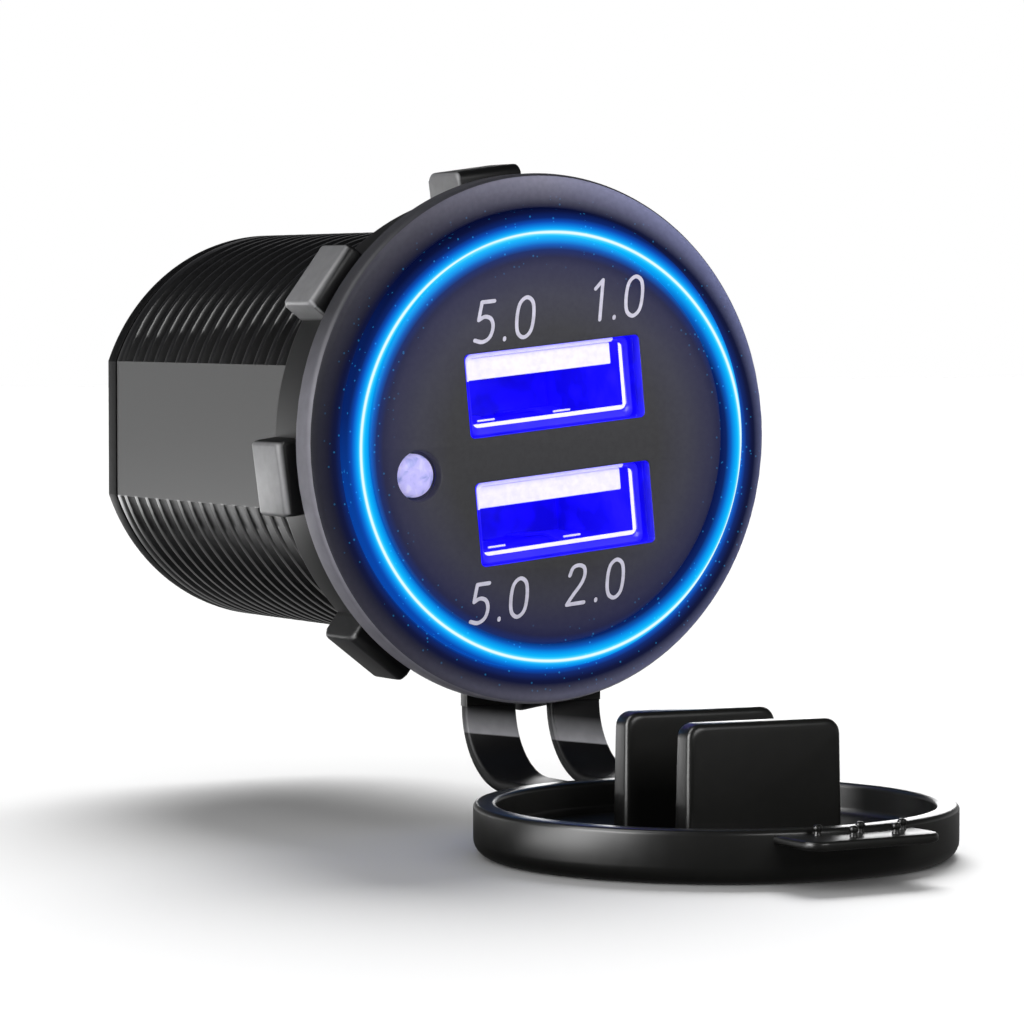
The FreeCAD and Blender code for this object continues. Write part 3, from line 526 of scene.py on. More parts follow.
def cut_plate(outlines, low, high, bevel):
    """Plate between two levels whose first outline is its rim and whose others are holes."""
    curve = bpy.data.curves.new("plate", "CURVE")
    curve.dimensions = "2D"
    curve.fill_mode = "BOTH"
    for points in outlines:
        spline = curve.splines.new("POLY")
        spline.points.add(len(points) - 1)
        for point, (x, z) in zip(spline.points, points):
            point.co = (x * MM, z * MM, 0, 1)
        spline.use_cyclic_u = True
    curve.extrude = ((high - low) / 2 - bevel) * MM
    curve.bevel_depth = bevel * MM
    curve.bevel_resolution = 3
    curve.offset = -bevel * MM
    holder = placed("plate", curve)
    bpy.context.view_layer.update()
    data = bpy.data.meshes.new_from_object(holder)
    mesh = bmesh.new()
    mesh.from_mesh(data)
    bpy.data.objects.remove(holder)
    bpy.data.curves.remove(curve)
    bpy.data.meshes.remove(data)
    turn = Matrix(((1, 0, 0, 0), (0, 0, -1, (low + high) / 2 * MM), (0, 1, 0, 0), (0, 0, 0, 1)))
    mesh.transform(turn)
    return cleaned(mesh)


holes = [port_outline(1), port_outline(-1), circle(LAMP_X, LAMP_Z, LAMP_HOLE, 64)]
plate_mesh = cut_plate([circle(0, 0, PLATE_RADIUS, 192), *holes], PLATE_FRONT, PLATE_STEP, PLATE_EDGE)
join(plate_mesh, cut_plate([circle(0, 0, BOSS_RADIUS, 192), *holes], PLATE_STEP - 0.02, BOSS_REAR, 0.05))
print("face plate triangles", len(plate_mesh.faces))

# %% [markdown]
# A receptacle is a folded steel shell, open in front, round a plastic tongue with four contacts.
# The shell's mouth is rolled into a lip. The bright line along that lip is what the eye reads as
# steel, so the lip gets a painted highlight: a glowing bead of its own along the floor and the right side.


# %% Shells
SHELL_FRONT, SHELL_REAR = -2.15, 12.85
SHELL_WIDTH, SHELL_HEIGHT, SHELL_WALL, SHELL_CORNER = 13.2, 5.7, 0.3, 0.5
BEAD_HALF, BEAD_DEPTH = 0.19, 0.1


def at_port(side):
    """Function that turns (across, level, up) at a port into a point."""

    def place(across, level, up):
        x, z = face_point(across, up + side * PORT_SPACING / 2)
        return (x, level, z)

    return place


def frame_ring(place, inset, level):
    """Ring of a shell's section, inset from the sheet's outside by (side, bottom, top)."""
    w, h = SHELL_WIDTH / 2, SHELL_HEIGHT / 2
    aside, below, above = inset
    left, r = 0.45 * aside - w, SHELL_CORNER
    shape = rounded(
        [
            (left, below - h, r), (w - aside, below - h, r), (w - aside, h - above, r),
            (5.4, h - above, 0), (left, h - above, r), (left, 1.0, 0),
        ],
        5,
    )
    return [place(p.x, level, p.y) for p in shape]


def shell_mesh(side):
    """Folded shell whose front edge is rolled into a lip."""
    place = at_port(side)
    wall = SHELL_WALL
    profile = [
        ((wall, wall, wall), SHELL_REAR), ((wall, wall, wall), SHELL_FRONT + 1.4),
        ((0.42, 0.5, wall), SHELL_FRONT + 0.75), ((0.5, 0.62, wall), SHELL_FRONT + 0.4),
        ((0.47, 0.6, 0.28), SHELL_FRONT + 0.22), ((0.38, 0.5, 0.2), SHELL_FRONT + 0.1),
        ((0.1, 0.1, 0.1), SHELL_FRONT), ((0.03, 0.03, 0.03), SHELL_FRONT + 0.03), ((0, 0, 0), SHELL_FRONT + 0.1),
        ((0, 0, 0), SHELL_REAR),
    ]
    return skin([frame_ring(place, inset, level) for inset, level in profile], loop=True)


def highlight_bead_mesh(side):
    """Glowing strip, a painted highlight, along the floor and one side of a shell's mouth and on its spring tips."""
    place = at_port(side)
    w, h = SHELL_WIDTH / 2, SHELL_HEIGHT / 2
    line = [(w - 0.46, 2.7), (w - 0.46, 0.95 - h), (w - 0.54, 0.775 - h), (w - 0.72, 0.7 - h), (0.12 - w, 0.64 - h)]
    line = [Vector(p) for p in line]
    rings = []
    for i, point in enumerate(line):
        ahead = (line[min(i + 1, len(line) - 1)] - line[max(i - 1, 0)]).normalized()
        side_way = Vector((-ahead.y, ahead.x))
        ring = []
        for k in range(10):
            turn = 2 * math.pi * k / 10
            spot = point + side_way * (BEAD_HALF * math.cos(turn))
            ring.append(place(spot.x, SHELL_FRONT + 0.28 + BEAD_DEPTH * math.sin(turn), spot.y))
        rings.append(ring)
    mesh = skin(rings)
    for across in (-4.3, 1.9):
        join(mesh, bar(place, (across, across + 1.4), (0.9, 1.05), (0.72 - h, 0.86 - h), 0.05))
    return mesh


print("shell", SHELL_WIDTH, "by", SHELL_HEIGHT, "mm")

# %% [markdown]
# The plastic block with its tongue and the contacts are plain bars with rounded rims. Two spring
# tongues are pressed out of the floor of each shell, which grip a plug. They are thin strips that
# rise over the floor to a bent crest.


# %% Tongues, contacts and springs
SPRING_WIDTH, SPRING_THICKNESS, SPRING_RISE = 2.0, 0.16, 0.36
SPRING_FRONT, SPRING_LENGTH = 1.6, 7.0
BLOCK_FRONT = 8.85


def bar(place, across, level, up, edge=0.08):
    """Block with rounded rims between three pairs of bounds."""
    outline = rectangle(*across, *up, edge, 3)
    return block(outline, level[0], level[1], edge, lambda a, b, l: place(a, l, b))


def spring(place, across, floor):
    """Spring tongue of a shell: a thin strip that rises from the floor to a bent crest."""
    rings = []
    for k in range(17):
        t = k / 16
        half = SPRING_WIDTH / 2 * (0.72 + 0.28 * t)
        low = floor + 0.12 + SPRING_RISE * ease(t / 0.25) * (1 - ease((t - 0.3) / 0.7))
        section = rectangle(across - half, across + half, low, low + SPRING_THICKNESS, 0)
        rings.append([place(p.x, SPRING_FRONT + SPRING_LENGTH * t, p.y) for p in section])
    return skin(rings)


shell_meshes, highlight_bead_meshes, insulator_meshes, contact_meshes = {}, {}, {}, {}
for name, side in (("upper", 1), ("lower", -1)):
    place = at_port(side)
    shell = shell_mesh(side)
    for across in (-3.6, 2.6):
        join(shell, spring(place, across, SHELL_WALL - SHELL_HEIGHT / 2))
    shell_meshes[name] = shell
    highlight_bead_meshes[name] = highlight_bead_mesh(side)
    insulator = bar(place, (-6.25, 6.25), (BLOCK_FRONT, SHELL_REAR), (-2.5, 2.5))
    join(insulator, bar(place, (-6.4, 5.4), (-1.65, 9.0), (1.0, 2.53), 0.1))
    insulator_meshes[name] = insulator
    contacts = bmesh.new()
    for across in (-3.5, -1.0, 1.0, 3.5):
        join(contacts, bar(place, (across - 0.5, across + 0.5), (0.25, BLOCK_FRONT), (0.81, 1.0), 0.06))
    contact_meshes[name] = contacts
print("shell triangles", 2 * len(shell_meshes["upper"].faces))

# %% [markdown]
# The cap is moulded in soft rubber: a ring behind the flange, two straps and a shallow lid with two
# plugs. Rubber has no sharp edges, so every rim here is round. The straps are strips swept along one
# side view. Each strap is two pieces, because it bends at the hinge and stretches at the lid.

# %% Cap ring and straps
STRAP_X, STRAP_SPACING, STRAP_WIDTH, STRAP_THICKNESS = 0.5, 6.9, 4.1, 0.9
t = STRAP_THICKNESS
cap_ring_mesh = closed_turn(rounded([(14.8, 0.0, 0.1), (17.6, 0.0, 0.2), (17.6, t, 0.2), (14.8, t, 0.1)], 4))
STRAP_MIDDLES = (STRAP_X - STRAP_SPACING / 2, STRAP_X + STRAP_SPACING / 2)
for middle in STRAP_MIDDLES:
    outline = rectangle(middle - STRAP_WIDTH / 2, middle + STRAP_WIDTH / 2, -18.6, -16.6, 0)
    join(cap_ring_mesh, block(outline, 0.0, t, 0.12, lambda a, b, l: (a, l, b)))

STRAP_TOP = Vector((0.45, -18.6))
STRAP_LOW = -23.76
STRAP_BEND = STRAP_TOP.y - STRAP_LOW
STRAP_END = -8.55
BEND_STEPS = 28


def strap_path():
    """Middle line of a strap as (y, z) points with the direction of its outer face."""
    centre = STRAP_TOP - Vector((STRAP_BEND, 0))
    path = []
    for k in range(BEND_STEPS + 1):
        angle = math.pi / 2 * k / BEND_STEPS
        out = Vector((math.cos(angle), -math.sin(angle)))
        path.append((centre + out * STRAP_BEND, out))
    for k in range(1, 9):
        path.append((Vector((centre.x + (STRAP_END - centre.x) * k / 8, STRAP_LOW)), Vector((0, -1))))
    return path


def strap_mesh(path, middle):
    """Strip with rounded edges along a path."""
    half, thick = STRAP_WIDTH / 2, STRAP_THICKNESS / 2
    section = rectangle(-half, half, -thick, thick, 0.3)
    return skin([[(middle + p.x, *(point + out * p.y)) for p in section] for point, out in path])


full_path = strap_path()
upper_path, lower_path = full_path[: BEND_STEPS + 1], full_path[BEND_STEPS:]
print("the strap ends at", round(lower_path[-1][0].x, 2), "mm")

# %% [markdown]
# The lid is a shallow dish with a round bottom edge. Two plugs stand in it, which fill the ports
# when it is closed; they narrow a little towards their ends, so that they leave the mould. In front
# a thin tab with five small grip nubs lets a finger pull the lid open.

# %% Lid
LID_Y, LID_RADIUS, LID_RIM, LID_BOTTOM = -24.0, lid_high.x, -23.16, lid_low.z
LID_FLOOR = LID_RIM - 2.15
RIM_INSIDE = LID_RADIUS - 1.5
PLUG_HALF_WIDTH, PLUG_HALF_DEPTH, PLUG_TOP = 5.7, 1.05, lid_high.z + 0.4
WIDTH_TAPER, DEPTH_TAPER = 0.0175 / 5.7, 0.1 / 7.4
TAB_TOP, TAB_THICKNESS = LID_RIM - 0.3, 0.6
NUB_PROFILE = [
    (0.3, -0.1), (0.24, 0.1), (0.22, 0.25), (0.29, 0.36), (0.31, 0.46), (0.28, 0.58), (0.18, 0.67), (0.01, 0.7),
]


def upright(profile, x, y, steps):
    """Rings of a profile of (radius, height) turned about an upright axis."""
    return [[(px, py, height) for px, py in circle(x, y, radius, steps)] for radius, height in profile]


lid_profile = rounded(
    [
        (0.01, LID_BOTTOM, 0), (LID_RADIUS, LID_BOTTOM, 1.15), (LID_RADIUS, LID_RIM, 0.32),
        (RIM_INSIDE, LID_RIM, 0.32), (RIM_INSIDE, LID_FLOOR, 0.5), (0.01, LID_FLOOR, 0),
    ],
    7,
)
lid_mesh = skin(upright(lid_profile, 0, LID_Y, 192))


def plug_place(half):
    """Function that turns (across, up, depth) into a point of the plug for a port at a height."""
    c, s = math.cos(FACE_TURN), -math.sin(FACE_TURN)
    centre_x = FACE_X + half * s
    centre_y = LID_Y - 1.2 - FACE_Z - half * c

    def place(across, up, depth):
        x = across * (1 - WIDTH_TAPER * (up - LID_FLOOR))
        y = depth * (1 - DEPTH_TAPER * (up - LID_FLOOR))
        return (centre_x + x * c - y * s, centre_y + x * s + y * c, up)

    return place


w, foot = PLUG_HALF_WIDTH, LID_FLOOR - 0.3
plug_outline = rounded([(-w, foot, 0), (w, foot, 0), (w, PLUG_TOP, 0.95), (-w, PLUG_TOP, 0.95)], 7)
for half in (PORT_SPACING / 2 - 0.75, -PORT_SPACING / 2 - 0.75):
    join(lid_mesh, block(plug_outline, -PLUG_HALF_DEPTH, PLUG_HALF_DEPTH, 0.42, plug_place(half)))

reach, root = lid_low.y, LID_Y - 14.6
tab_outline = rounded([(-5.5, reach, 1.25), (4.5, reach, 1.25), (4.5, root, 0), (-5.5, root, 0)], 7)
join(lid_mesh, block(tab_outline, TAB_TOP - TAB_THICKNESS, TAB_TOP, 0.2, lambda a, b, l: (a, b, l)))
nub_profile = [(radius, TAB_TOP + height) for radius, height in NUB_PROFILE]
for across, away in [(-3.2, 0.4), (0, 0.4), (3.2, 0.4), (-1.6, 2.0), (1.6, 2.0)]:
    join(lid_mesh, skin(upright(nub_profile, 0.05 + across, LID_Y - LID_RADIUS - away, 24)))
print("lid triangles", 2 * len(lid_mesh.faces))

# %% [markdown]
# Behind, a round cover closes the barrel, with a slot for each blade. The blades are stamped brass
# with a tin coat, pierced for the catch of a push-on connector. In front, the lamp's dome is turned.


# %% Rear cover, blades and lamp
COVER_RADIUS = 12.1
BLADE_X, BLADE_HALF, BLADE_TIP = 5.2, 3.15, 47.4
slots = [rectangle(x - 3.25, x + 3.25, -1.3, -0.3, 0) for x in (-BLADE_X, BLADE_X)]
cover_mesh = cut_plate([circle(0, 0, COVER_RADIUS, 144), *slots], 37.6, 39.4, 0.12)
join(cover_mesh, closed_turn([(11.2, 36.2), (COVER_RADIUS, 36.2), (COVER_RADIUS, 37.7), (11.2, 37.7)], 96))


def blade_mesh(middle):
    """Flat blade with a tapered tip and a hole."""
    w = BLADE_HALF
    rim = [
        (middle - w, 31.4), (middle + w, 31.4), (middle + w, BLADE_TIP - 1.0),
        (middle + w - 1.0, BLADE_TIP), (middle - w + 1.0, BLADE_TIP), (middle - w, BLADE_TIP - 1.0),
    ]
    mesh = cut_plate([rim, circle(middle, BLADE_TIP - 3.6, 0.85, 32)], -1.2, -0.4, 0.1)
    mesh.transform(Matrix(((1, 0, 0, 0), (0, 0, 1, 0), (0, 1, 0, 0), (0, 0, 0, 1))))
    bmesh.ops.recalc_face_normals(mesh, faces=mesh.faces)
    return mesh


LAMP_RADIUS = 1.5
lamp_profile = [(0.01, 0.6), (1.65, 0.6), (1.65, -0.2), (LAMP_RADIUS, -0.2)]
for k in range(13):
    angle = math.pi / 2 * k / 12
    lamp_profile.append((max(LAMP_RADIUS * math.cos(angle) ** 0.6, 0.01), -2.0 - 0.6 * math.sin(angle)))
lamp_mesh = skin(turned(lamp_profile, 64, (LAMP_X, LAMP_Z)))
print("cover triangles", len(cover_mesh.faces))

# %% [markdown]
# The face carries four short marks, printed in thin slanted lines. They are drawn here as strokes:
# a line of points gets a flat ribbon with round ends. They are plain numbers: the volts and the
# amperes of each port. A text object would work too, but its strokes are fatter than the print.


# %% Printed marks
GLYPHS = {
    "5": (
        [(0.56, 1.0), (0.16, 1.0)], [(0.16, 1.0), (0.1, 0.56)],
        [(0.1, 0.56), (0.3, 0.63), (0.5, 0.55), (0.58, 0.34), (0.5, 0.1), (0.28, 0.0), (0.03, 0.06)],
    ),
    "0": (
        [
            (0.3, 1.0), (0.09, 0.86), (0.03, 0.5), (0.09, 0.14), (0.3, 0.0),
            (0.51, 0.14), (0.57, 0.5), (0.51, 0.86), (0.3, 1.0),
        ],
    ),
    "1": ([(0.12, 0.8), (0.34, 1.0)], [(0.34, 1.0), (0.34, 0.0)]),
    "2": (
        [(0.05, 0.76), (0.14, 0.95), (0.33, 1.0), (0.52, 0.92), (0.56, 0.72), (0.46, 0.5), (0.22, 0.24), (0.02, 0.0)],
        [(0.02, 0.0), (0.6, 0.0)],
    ),
    ".": ([(0.14, 0.0), (0.14, 0.03)],),
}
ADVANCE = {"5": 0.78, "0": 0.8, "1": 0.62, "2": 0.8, ".": 0.42}
SLANT, NARROW, STROKE_WIDTH = 0.2, 0.92, 0.27
INK_LEVEL, STROKE_STEP = PLATE_FRONT - 0.012, 0.004
FLOW_STEPS, END_STEPS = 6, 6
ACROSS = Vector((math.cos(FACE_TURN), math.sin(FACE_TURN)))
RISE = Vector((-math.sin(FACE_TURN), math.cos(FACE_TURN)))


def flowing(points):
    """Points of a smooth line through the given ones, closed where the last one is the first."""
    line = []
    last = len(points) - 1
    closed = points[0] == points[-1]
    for i in range(last):
        near = [j % last if closed else min(max(j, 0), last) for j in (i - 1, i, i + 1, i + 2)]
        a, b, c, d = (Vector(points[j]) for j in near)
        for k in range(FLOW_STEPS):
            t = k / FLOW_STEPS
            bend, twist = 2 * a - 5 * b + 4 * c - d, 3 * b - a - 3 * c + d
            line.append(0.5 * (2 * b + (c - a) * t + bend * t * t + twist * t**3))
    return line + [Vector(points[-1])]


def ribbon(mesh, line, width, place):
    """Flat stroke with round ends along a line, added to a mesh."""
    half = width / 2
    left, right = [], []
    closed = (line[0] - line[-1]).length < 1e-6
    for i, point in enumerate(line):
        after, before = min(i + 1, len(line) - 1), max(i - 1, 0)
        if closed and i in (0, len(line) - 1):
            after, before = 1, -2
        ahead = (line[after] - line[before]).normalized()
        side = Vector((-ahead.y, ahead.x))
        left.append(point + side * half)
        right.append(point - side * half)
    ends = [] if closed else [(line[-1], line[-1] - line[-2]), (line[0], line[0] - line[1])]
    for end, towards in ends:
        start = math.atan2(towards.y, towards.x) - math.pi / 2
        angles = [start + math.pi * k / END_STEPS for k in range(END_STEPS + 1)]
        fan = [end + Vector((math.cos(a), math.sin(a))) * half for a in angles]
        mesh.faces.new([mesh.verts.new(place(p)) for p in fan])
    verts = [(mesh.verts.new(place(a)), mesh.verts.new(place(b))) for a, b in zip(left, right)]
    for (a, b), (c, d) in zip(verts, verts[1:]):
        mesh.faces.new((a, b, d, c))


def ink_place(start, layer):
    """Function that turns a point of a glyph into one on the plate; each stroke lies on its own layer."""

    def place(p):
        spot = start + ACROSS * (p.x + SLANT * p.y) + RISE * p.y
        return Vector((spot.x, INK_LEVEL - STROKE_STEP * layer, spot.y)) * MM

    return place


def printed(text, foot, head):
    """Mesh of a mark between the foot and the head of its first glyph, both (x, z) on the face."""
    height = (Vector(head) - Vector(foot)).length / math.hypot(1, SLANT)
    mesh = bmesh.new()
    start = Vector(foot)
    for glyph in text:
        for layer, stroke in enumerate(GLYPHS[glyph]):
            line = [Vector(p) for p in stroke] if len(stroke) < 4 else flowing(stroke)
            scaled = [Vector((p.x * height * NARROW, p.y * height)) for p in line]
            ribbon(mesh, scaled, STROKE_WIDTH, ink_place(start, layer))
        start = start + ACROSS * ADVANCE[glyph] * height
    for face in cleaned(mesh).faces:
        face.normal_update()
        if face.normal.y > 0:
            face.normal_flip()
    return mesh


marks = {
    "mark_volts_upper": printed("5.0", (-6.13, 6.73), (-5.55, 9.44)),
    "mark_amps_upper": printed("1.0", (3.2, 8.25), (3.8, 10.95)),
    "mark_volts_lower": printed("5.0", (-6.49, -12.61), (-5.91, -10.0)),
    "mark_amps_lower": printed("2.0", (1.3, -11.55), (1.95, -8.95)),
}
print("marks", {name: len(mesh.faces) for name, mesh in marks.items()})

# %% [markdown]
# The ring is lit from behind. Light leaves it as a thin white line with a blue fringe that spills
# over the plate and the flange, where it is painted light. The three pieces share one distance: how
# far a point lies from the line, in millimetres. A ramp over that distance gives the emitted colour,
# and a second one darkens the plastic to navy near the line, under the painted glow. So the glow runs
# on from piece to piece without a step, and stays with the object.

# %% Distance from the line of light
LINE_RADIUS = 15.42
LINE_FLATTEN = 14.9 / 15.42
LINE_X, LINE_Z = 0.4, -0.5
GLOW = [
    (-7.0, "#000000"), (-4.4, "#0c0c28"), (-2.8, "#090a34"), (-1.8, "#080c3a"), (-1.25, "#082464"),
    (-0.88, "#085cbc"), (-0.56, "#0498f0"), (-0.28, "#0cbcff"), (-0.13, "#50dcff"), (-0.06, "#e8ffff"),
    (0.06, "#e8ffff"), (0.13, "#40d0ff"), (0.26, "#0cacfc"), (0.48, "#0680e4"), (0.74, "#084cb4"),
    (1.05, "#072468"), (1.5, "#060f38"), (2.1, "#05061c"), (3.3, "#000000"),
]
# Near the line of light the plastic turns dark navy under the painted glow.
PAINTED_GLOW_BASE = [
    (-4.5, "#000000"), (-2.4, "#a0a0a0"), (-1.0, "#ffffff"), (1.7, "#ffffff"), (2.6, "#c4c4c4"), (4.0, "#000000"),
]
# Painted glints near the line of light.
PAINTED_GLINT_STOPS = [(-2.8, "#000000"), (-1.2, "#d0d0d0"), (1.2, "#d0d0d0"), (2.8, "#000000")]


def line_distance(tree):
    """Output with the distance from the bright line, in millimetres, negative inside it."""
    x = math_node(tree, "SUBTRACT", along(tree, "X"), LINE_X)
    z = math_node(tree, "SUBTRACT", along(tree, "Z"), LINE_Z)
    flat = add(tree, "ShaderNodeCombineXYZ", X=x, Z=math_node(tree, "DIVIDE", z, LINE_FLATTEN))
    return math_node(tree, "SUBTRACT", vector_node(tree, "LENGTH", flat.outputs[0]), LINE_RADIUS)


def dots(tree, size_mm, amount, seed):
    """Output that is 1 in a few small specks and 0 elsewhere."""
    moved = vector_node(tree, "ADD", object_place(tree), (seed, 0, 0))
    cells = add(tree, "ShaderNodeTexVoronoi", Vector=moved, Scale=per_metre(size_mm))
    near_centre = math_node(tree, "LESS_THAN", cells.outputs["Distance"], 0.19)
    pick = add(tree, "ShaderNodeSeparateColor", Color=cells.outputs["Color"])
    return math_node(tree, "MULTIPLY", near_centre, math_node(tree, "LESS_THAN", pick.outputs[0], amount))


print("glow over", GLOW[0][0], "to", GLOW[-1][0], "mm from the line")

# %% [markdown]
# The flange, the ring and the plate are satin plastic. A satin face scatters, so it shows its own
# grey evenly instead of a mirror image. The flange's grey grows paler to the right, as in the
# photo, where a window of light lies on it: painted light in its colour. Tiny blue sparkles are
# painted glints, emitted specks that stand for dust and grain catching the ring's light. They are
# drawn at 0.38 mm apart, coarser than real grain, so that a render holds them.


# %% Plastics of the face
def glowing(name, stops, roughness, specular, axis="Z"):
    """Face plastic emitting the ring's glow, painted light beyond the ring; stops give its tone along an axis, in mm.
    """
    material, tree, shader = new_material(name)
    distance = line_distance(tree)
    grain = noise(tree, 0.35, 3.0)
    toned = times(tree, ramp(tree, along(tree, axis), stops), remap(tree, grain, 0.35, 0.65, 0.95, 1.05))
    # Painted glints: blue specks that emit light near the line.
    painted_glints = math_node(tree, "MULTIPLY", dots(tree, 0.38, 0.34, 0.31), ramp(tree, distance, PAINTED_GLINT_STOPS))
    bump = add(tree, "ShaderNodeBump", Strength=0.05, Distance=0.05 * MM, Height=grain)
    fill(
        tree, shader, Roughness=roughness, Specular_IOR_Level=specular, Emission_Strength=1.0,
        # Painted glow: near the line the plastic turns dark navy and emits the ring's light.
        Base_Color=mix(tree, ramp(tree, distance, PAINTED_GLOW_BASE), toned, linear("#060714")),
        Emission_Color=mix(tree, painted_glints, ramp(tree, distance, GLOW), linear("#1c7cb4"), "ADD"),
        Normal=bump.outputs[0],
    )
    return material


# Satin charcoal ABS: a soft grey with painted light, darker to the left and paler to the right, with no sharp
# highlight.
flange_finish = glowing(
    "charcoal_abs_flange", [(-18.5, "#2c2c31"), (-10, "#504f5a"), (0, "#7f7e90"), (18.5, "#838abc")], 0.55, 0.06, "X"
)
# Clear polycarbonate over dark plastic: deep blue-black beside the line of light.
ring_finish = glowing("polycarbonate_light_ring", [(-16, "#06071a"), (16, "#0a0c28")], 0.6, 0.0)
# Fine-etched charcoal ABS: flat and even, so the print on it stays easy to read.
plate_finish = glowing("charcoal_abs_plate", [(-14, "#363638"), (0, "#3a3a3c"), (14, "#3e3e44")], 0.6, 0.1)
print("face finishes", flange_finish.name, ring_finish.name, plate_finish.name)

# %% [markdown]
# The rest of the plastic is black. Polished ABS on the barrel mirrors its surroundings, so its
# roughness is low and each rib carries a bright line. The rubber of the cap is a little duller and
# has a fine grain. Metals get their own colour in the reflection. Real grain is about 0.05 mm wide.
# It is drawn at 0.5 mm or more, and faint, because finer grain would only flicker at this size.


# %% Finishes of one colour
def plain(
    name, colour, roughness, metallic=0.0, grain_mm=0.5, grain=0.1, specular=0.5,
    emission=None, strength=1.0, relief=0.1,
):
    """Finish of one colour with a fine grain in tone and relief."""
    material, tree, shader = new_material(name)
    cloud = noise(tree, grain_mm, 4.0)
    tone = remap(tree, cloud, 0.3, 0.7, 1 - grain, 1 + grain)
    fill(
        tree, shader, Base_Color=times(tree, linear(colour)[:3], tone),
        Roughness=math_node(tree, "MULTIPLY", tone, roughness), Metallic=metallic, Specular_IOR_Level=specular,
    )
    if relief:
        bump = add(tree, "ShaderNodeBump", Strength=relief, Distance=0.03 * MM, Height=cloud)
        fill(tree, shader, Normal=bump.outputs[0])
    if emission:
        fill(tree, shader, Emission_Color=linear(emission), Emission_Strength=strength)
    return material


# Black ABS from a polished tool: nearly black, with a clear highlight along each rib.
barrel_finish = plain("glossy_black_abs", "#0c0c0d", 0.3, grain=0.03, specular=0.3, relief=0.0)
# The same ABS where the tool is not polished: no highlight, so the rear rim looks like a line.
end_finish = plain("matt_black_abs_end", "#050506", 0.45, specular=0.06, relief=0.0)
# Pad-printed ink: a chalky pale lilac under the ring's light.
ink = plain("pale_print", "#c0bece", 0.6, specular=0.1, relief=0.0)
# Soft black elastomer: a broad dim highlight on every rounded rim.
rubber = plain("black_tpe_rubber", "#151514", 0.3, grain_mm=0.8, grain=0.04, specular=0.24, relief=0.03)
# Pale plastic and rolled steel in full lamp light, emitted by the pieces: almost white, with a lilac
# cast; on the steel's bead it is a painted highlight.
tongue_plastic = plain("lit_pale_pbt", "#c8c4f4", 0.4, specular=0.2, emission="#dcd8ff", strength=0.5, relief=0.0)
painted_highlight_finish = plain("painted_highlight_steel_edge", "#c8c4ff", 0.3, specular=0.3, emission="#ccc6ff", strength=0.7, relief=0.0)
# Gold-flashed contacts and tinned blades: a coloured and a white metal mirror.
brass = plain("gilt_contact_brass", "#c0a860", 0.25, metallic=1.0)
tin = plain("tinned_brass", "#c8c6be", 0.3, metallic=1.0)
# Inside: green lacquer with a shine, dull black epoxy, and the bright sleeves of capacitors.
board_finish = plain("green_board_lacquer", "#0f4a26", 0.3)
component_finish = plain("black_component_epoxy", "#141416", 0.5)
can_finish = plain("can_aluminium_sleeve", "#b8bac0", 0.3, metallic=1.0)
print(len(bpy.data.materials), "finishes so far")

# %% [markdown]
# Three black pieces show a painted lighter region with an edge of its own: painted light on the
# flange's side below its top, a painted highlight on the left faces of the nut's lugs, and a painted
# sheen in the band of each strap just under the flange. Each one is a mask on the piece. A lamp
# would give the band too, but it would move over the piece as the cap swings.


# %% Finishes with painted light in one region
def banded(name, dark, light, roughness, specular, mask):
    """Black finish with a region of painted light; mask builds the output that is 1 there."""
    material, tree, shader = new_material(name)
    shade = mix(tree, mask(tree), linear(dark), linear(light))
    tone = remap(tree, noise(tree, 0.9, 3.0), 0.3, 0.7, 0.92, 1.08)
    fill(tree, shader, Base_Color=times(tree, shade, tone), Roughness=roughness, Specular_IOR_Level=specular)
    return material


def lug_painted_highlight(tree):
    """1 on the painted highlight: lug faces on the nut's left that face left, fainter low down."""
    flat = vector_node(tree, "MULTIPLY", object_place(tree), (1, 0, 1))
    out = remap(tree, vector_node(tree, "LENGTH", flat), 17.35 * MM, 17.6 * MM)
    facing = add(tree, "ShaderNodeSeparateXYZ", Vector=add(tree, "ShaderNodeTexCoord").outputs["Normal"])
    painted_lit_faces = math_node(tree, "MULTIPLY", out, remap(tree, facing.outputs["X"], -0.35, -0.85))
    return math_node(tree, "MULTIPLY", painted_lit_faces, remap(tree, along(tree, "Z"), -9, -3, 0.1, 1.0))


def strap_painted_sheen(tree):
    """1 in the painted sheen: a pale band where a strap leaves the flange, with a sharp, slightly slanted lower edge.
    """
    level = math_node(tree, "MULTIPLY_ADD", along(tree, "X"), 0.12, along(tree, "Z"))
    stops = [
        (-24.0, "#000000"), (-21.05, "#000000"), (-20.97, "#e0e0e0"),
        (-20.3, "#b0b0b0"), (-19.2, "#000000"), (-18.0, "#000000"),
    ]
    return ramp(tree, level, stops)


def side_painted_light(tree):
    """1 on the painted light over the lower part of the flange's side, 0 near its top."""
    return remap(tree, along(tree, "Z"), 9, 3)


# Charcoal ABS seen edge on, with painted light: a grey rim that fades to black at the top.
side_painted_light_finish = banded("charcoal_abs_side_painted_light", "#2e2e34", "#74737c", 0.55, 0.15, side_painted_light)
# Black ABS with painted highlights: grey, almost metallic faces on black lugs.
nut_painted_highlight_finish = banded("black_abs_nut_painted_highlight", "#09090a", "#88888a", 0.42, 0.2, lug_painted_highlight)
# Soft black elastomer with a painted sheen: a pale band over black near the flange.
strap_rubber_painted_sheen = banded("black_tpe_strap_painted_sheen", "#0a0a0b", "#9a9a9e", 0.45, 0.12, strap_painted_sheen)
print("banded finishes", side_painted_light_finish.name, nut_painted_highlight_finish.name, strap_rubber_painted_sheen.name)

# %% [markdown]
# Lamps inside light the receptacles, so their steel and plastic look saturated blue and have hardly
# any shadow. The blue is emitted by the pieces themselves, brighter in front than at the back. Small
# lamps in the ports would do it too, but they would need many samples to come out clean.


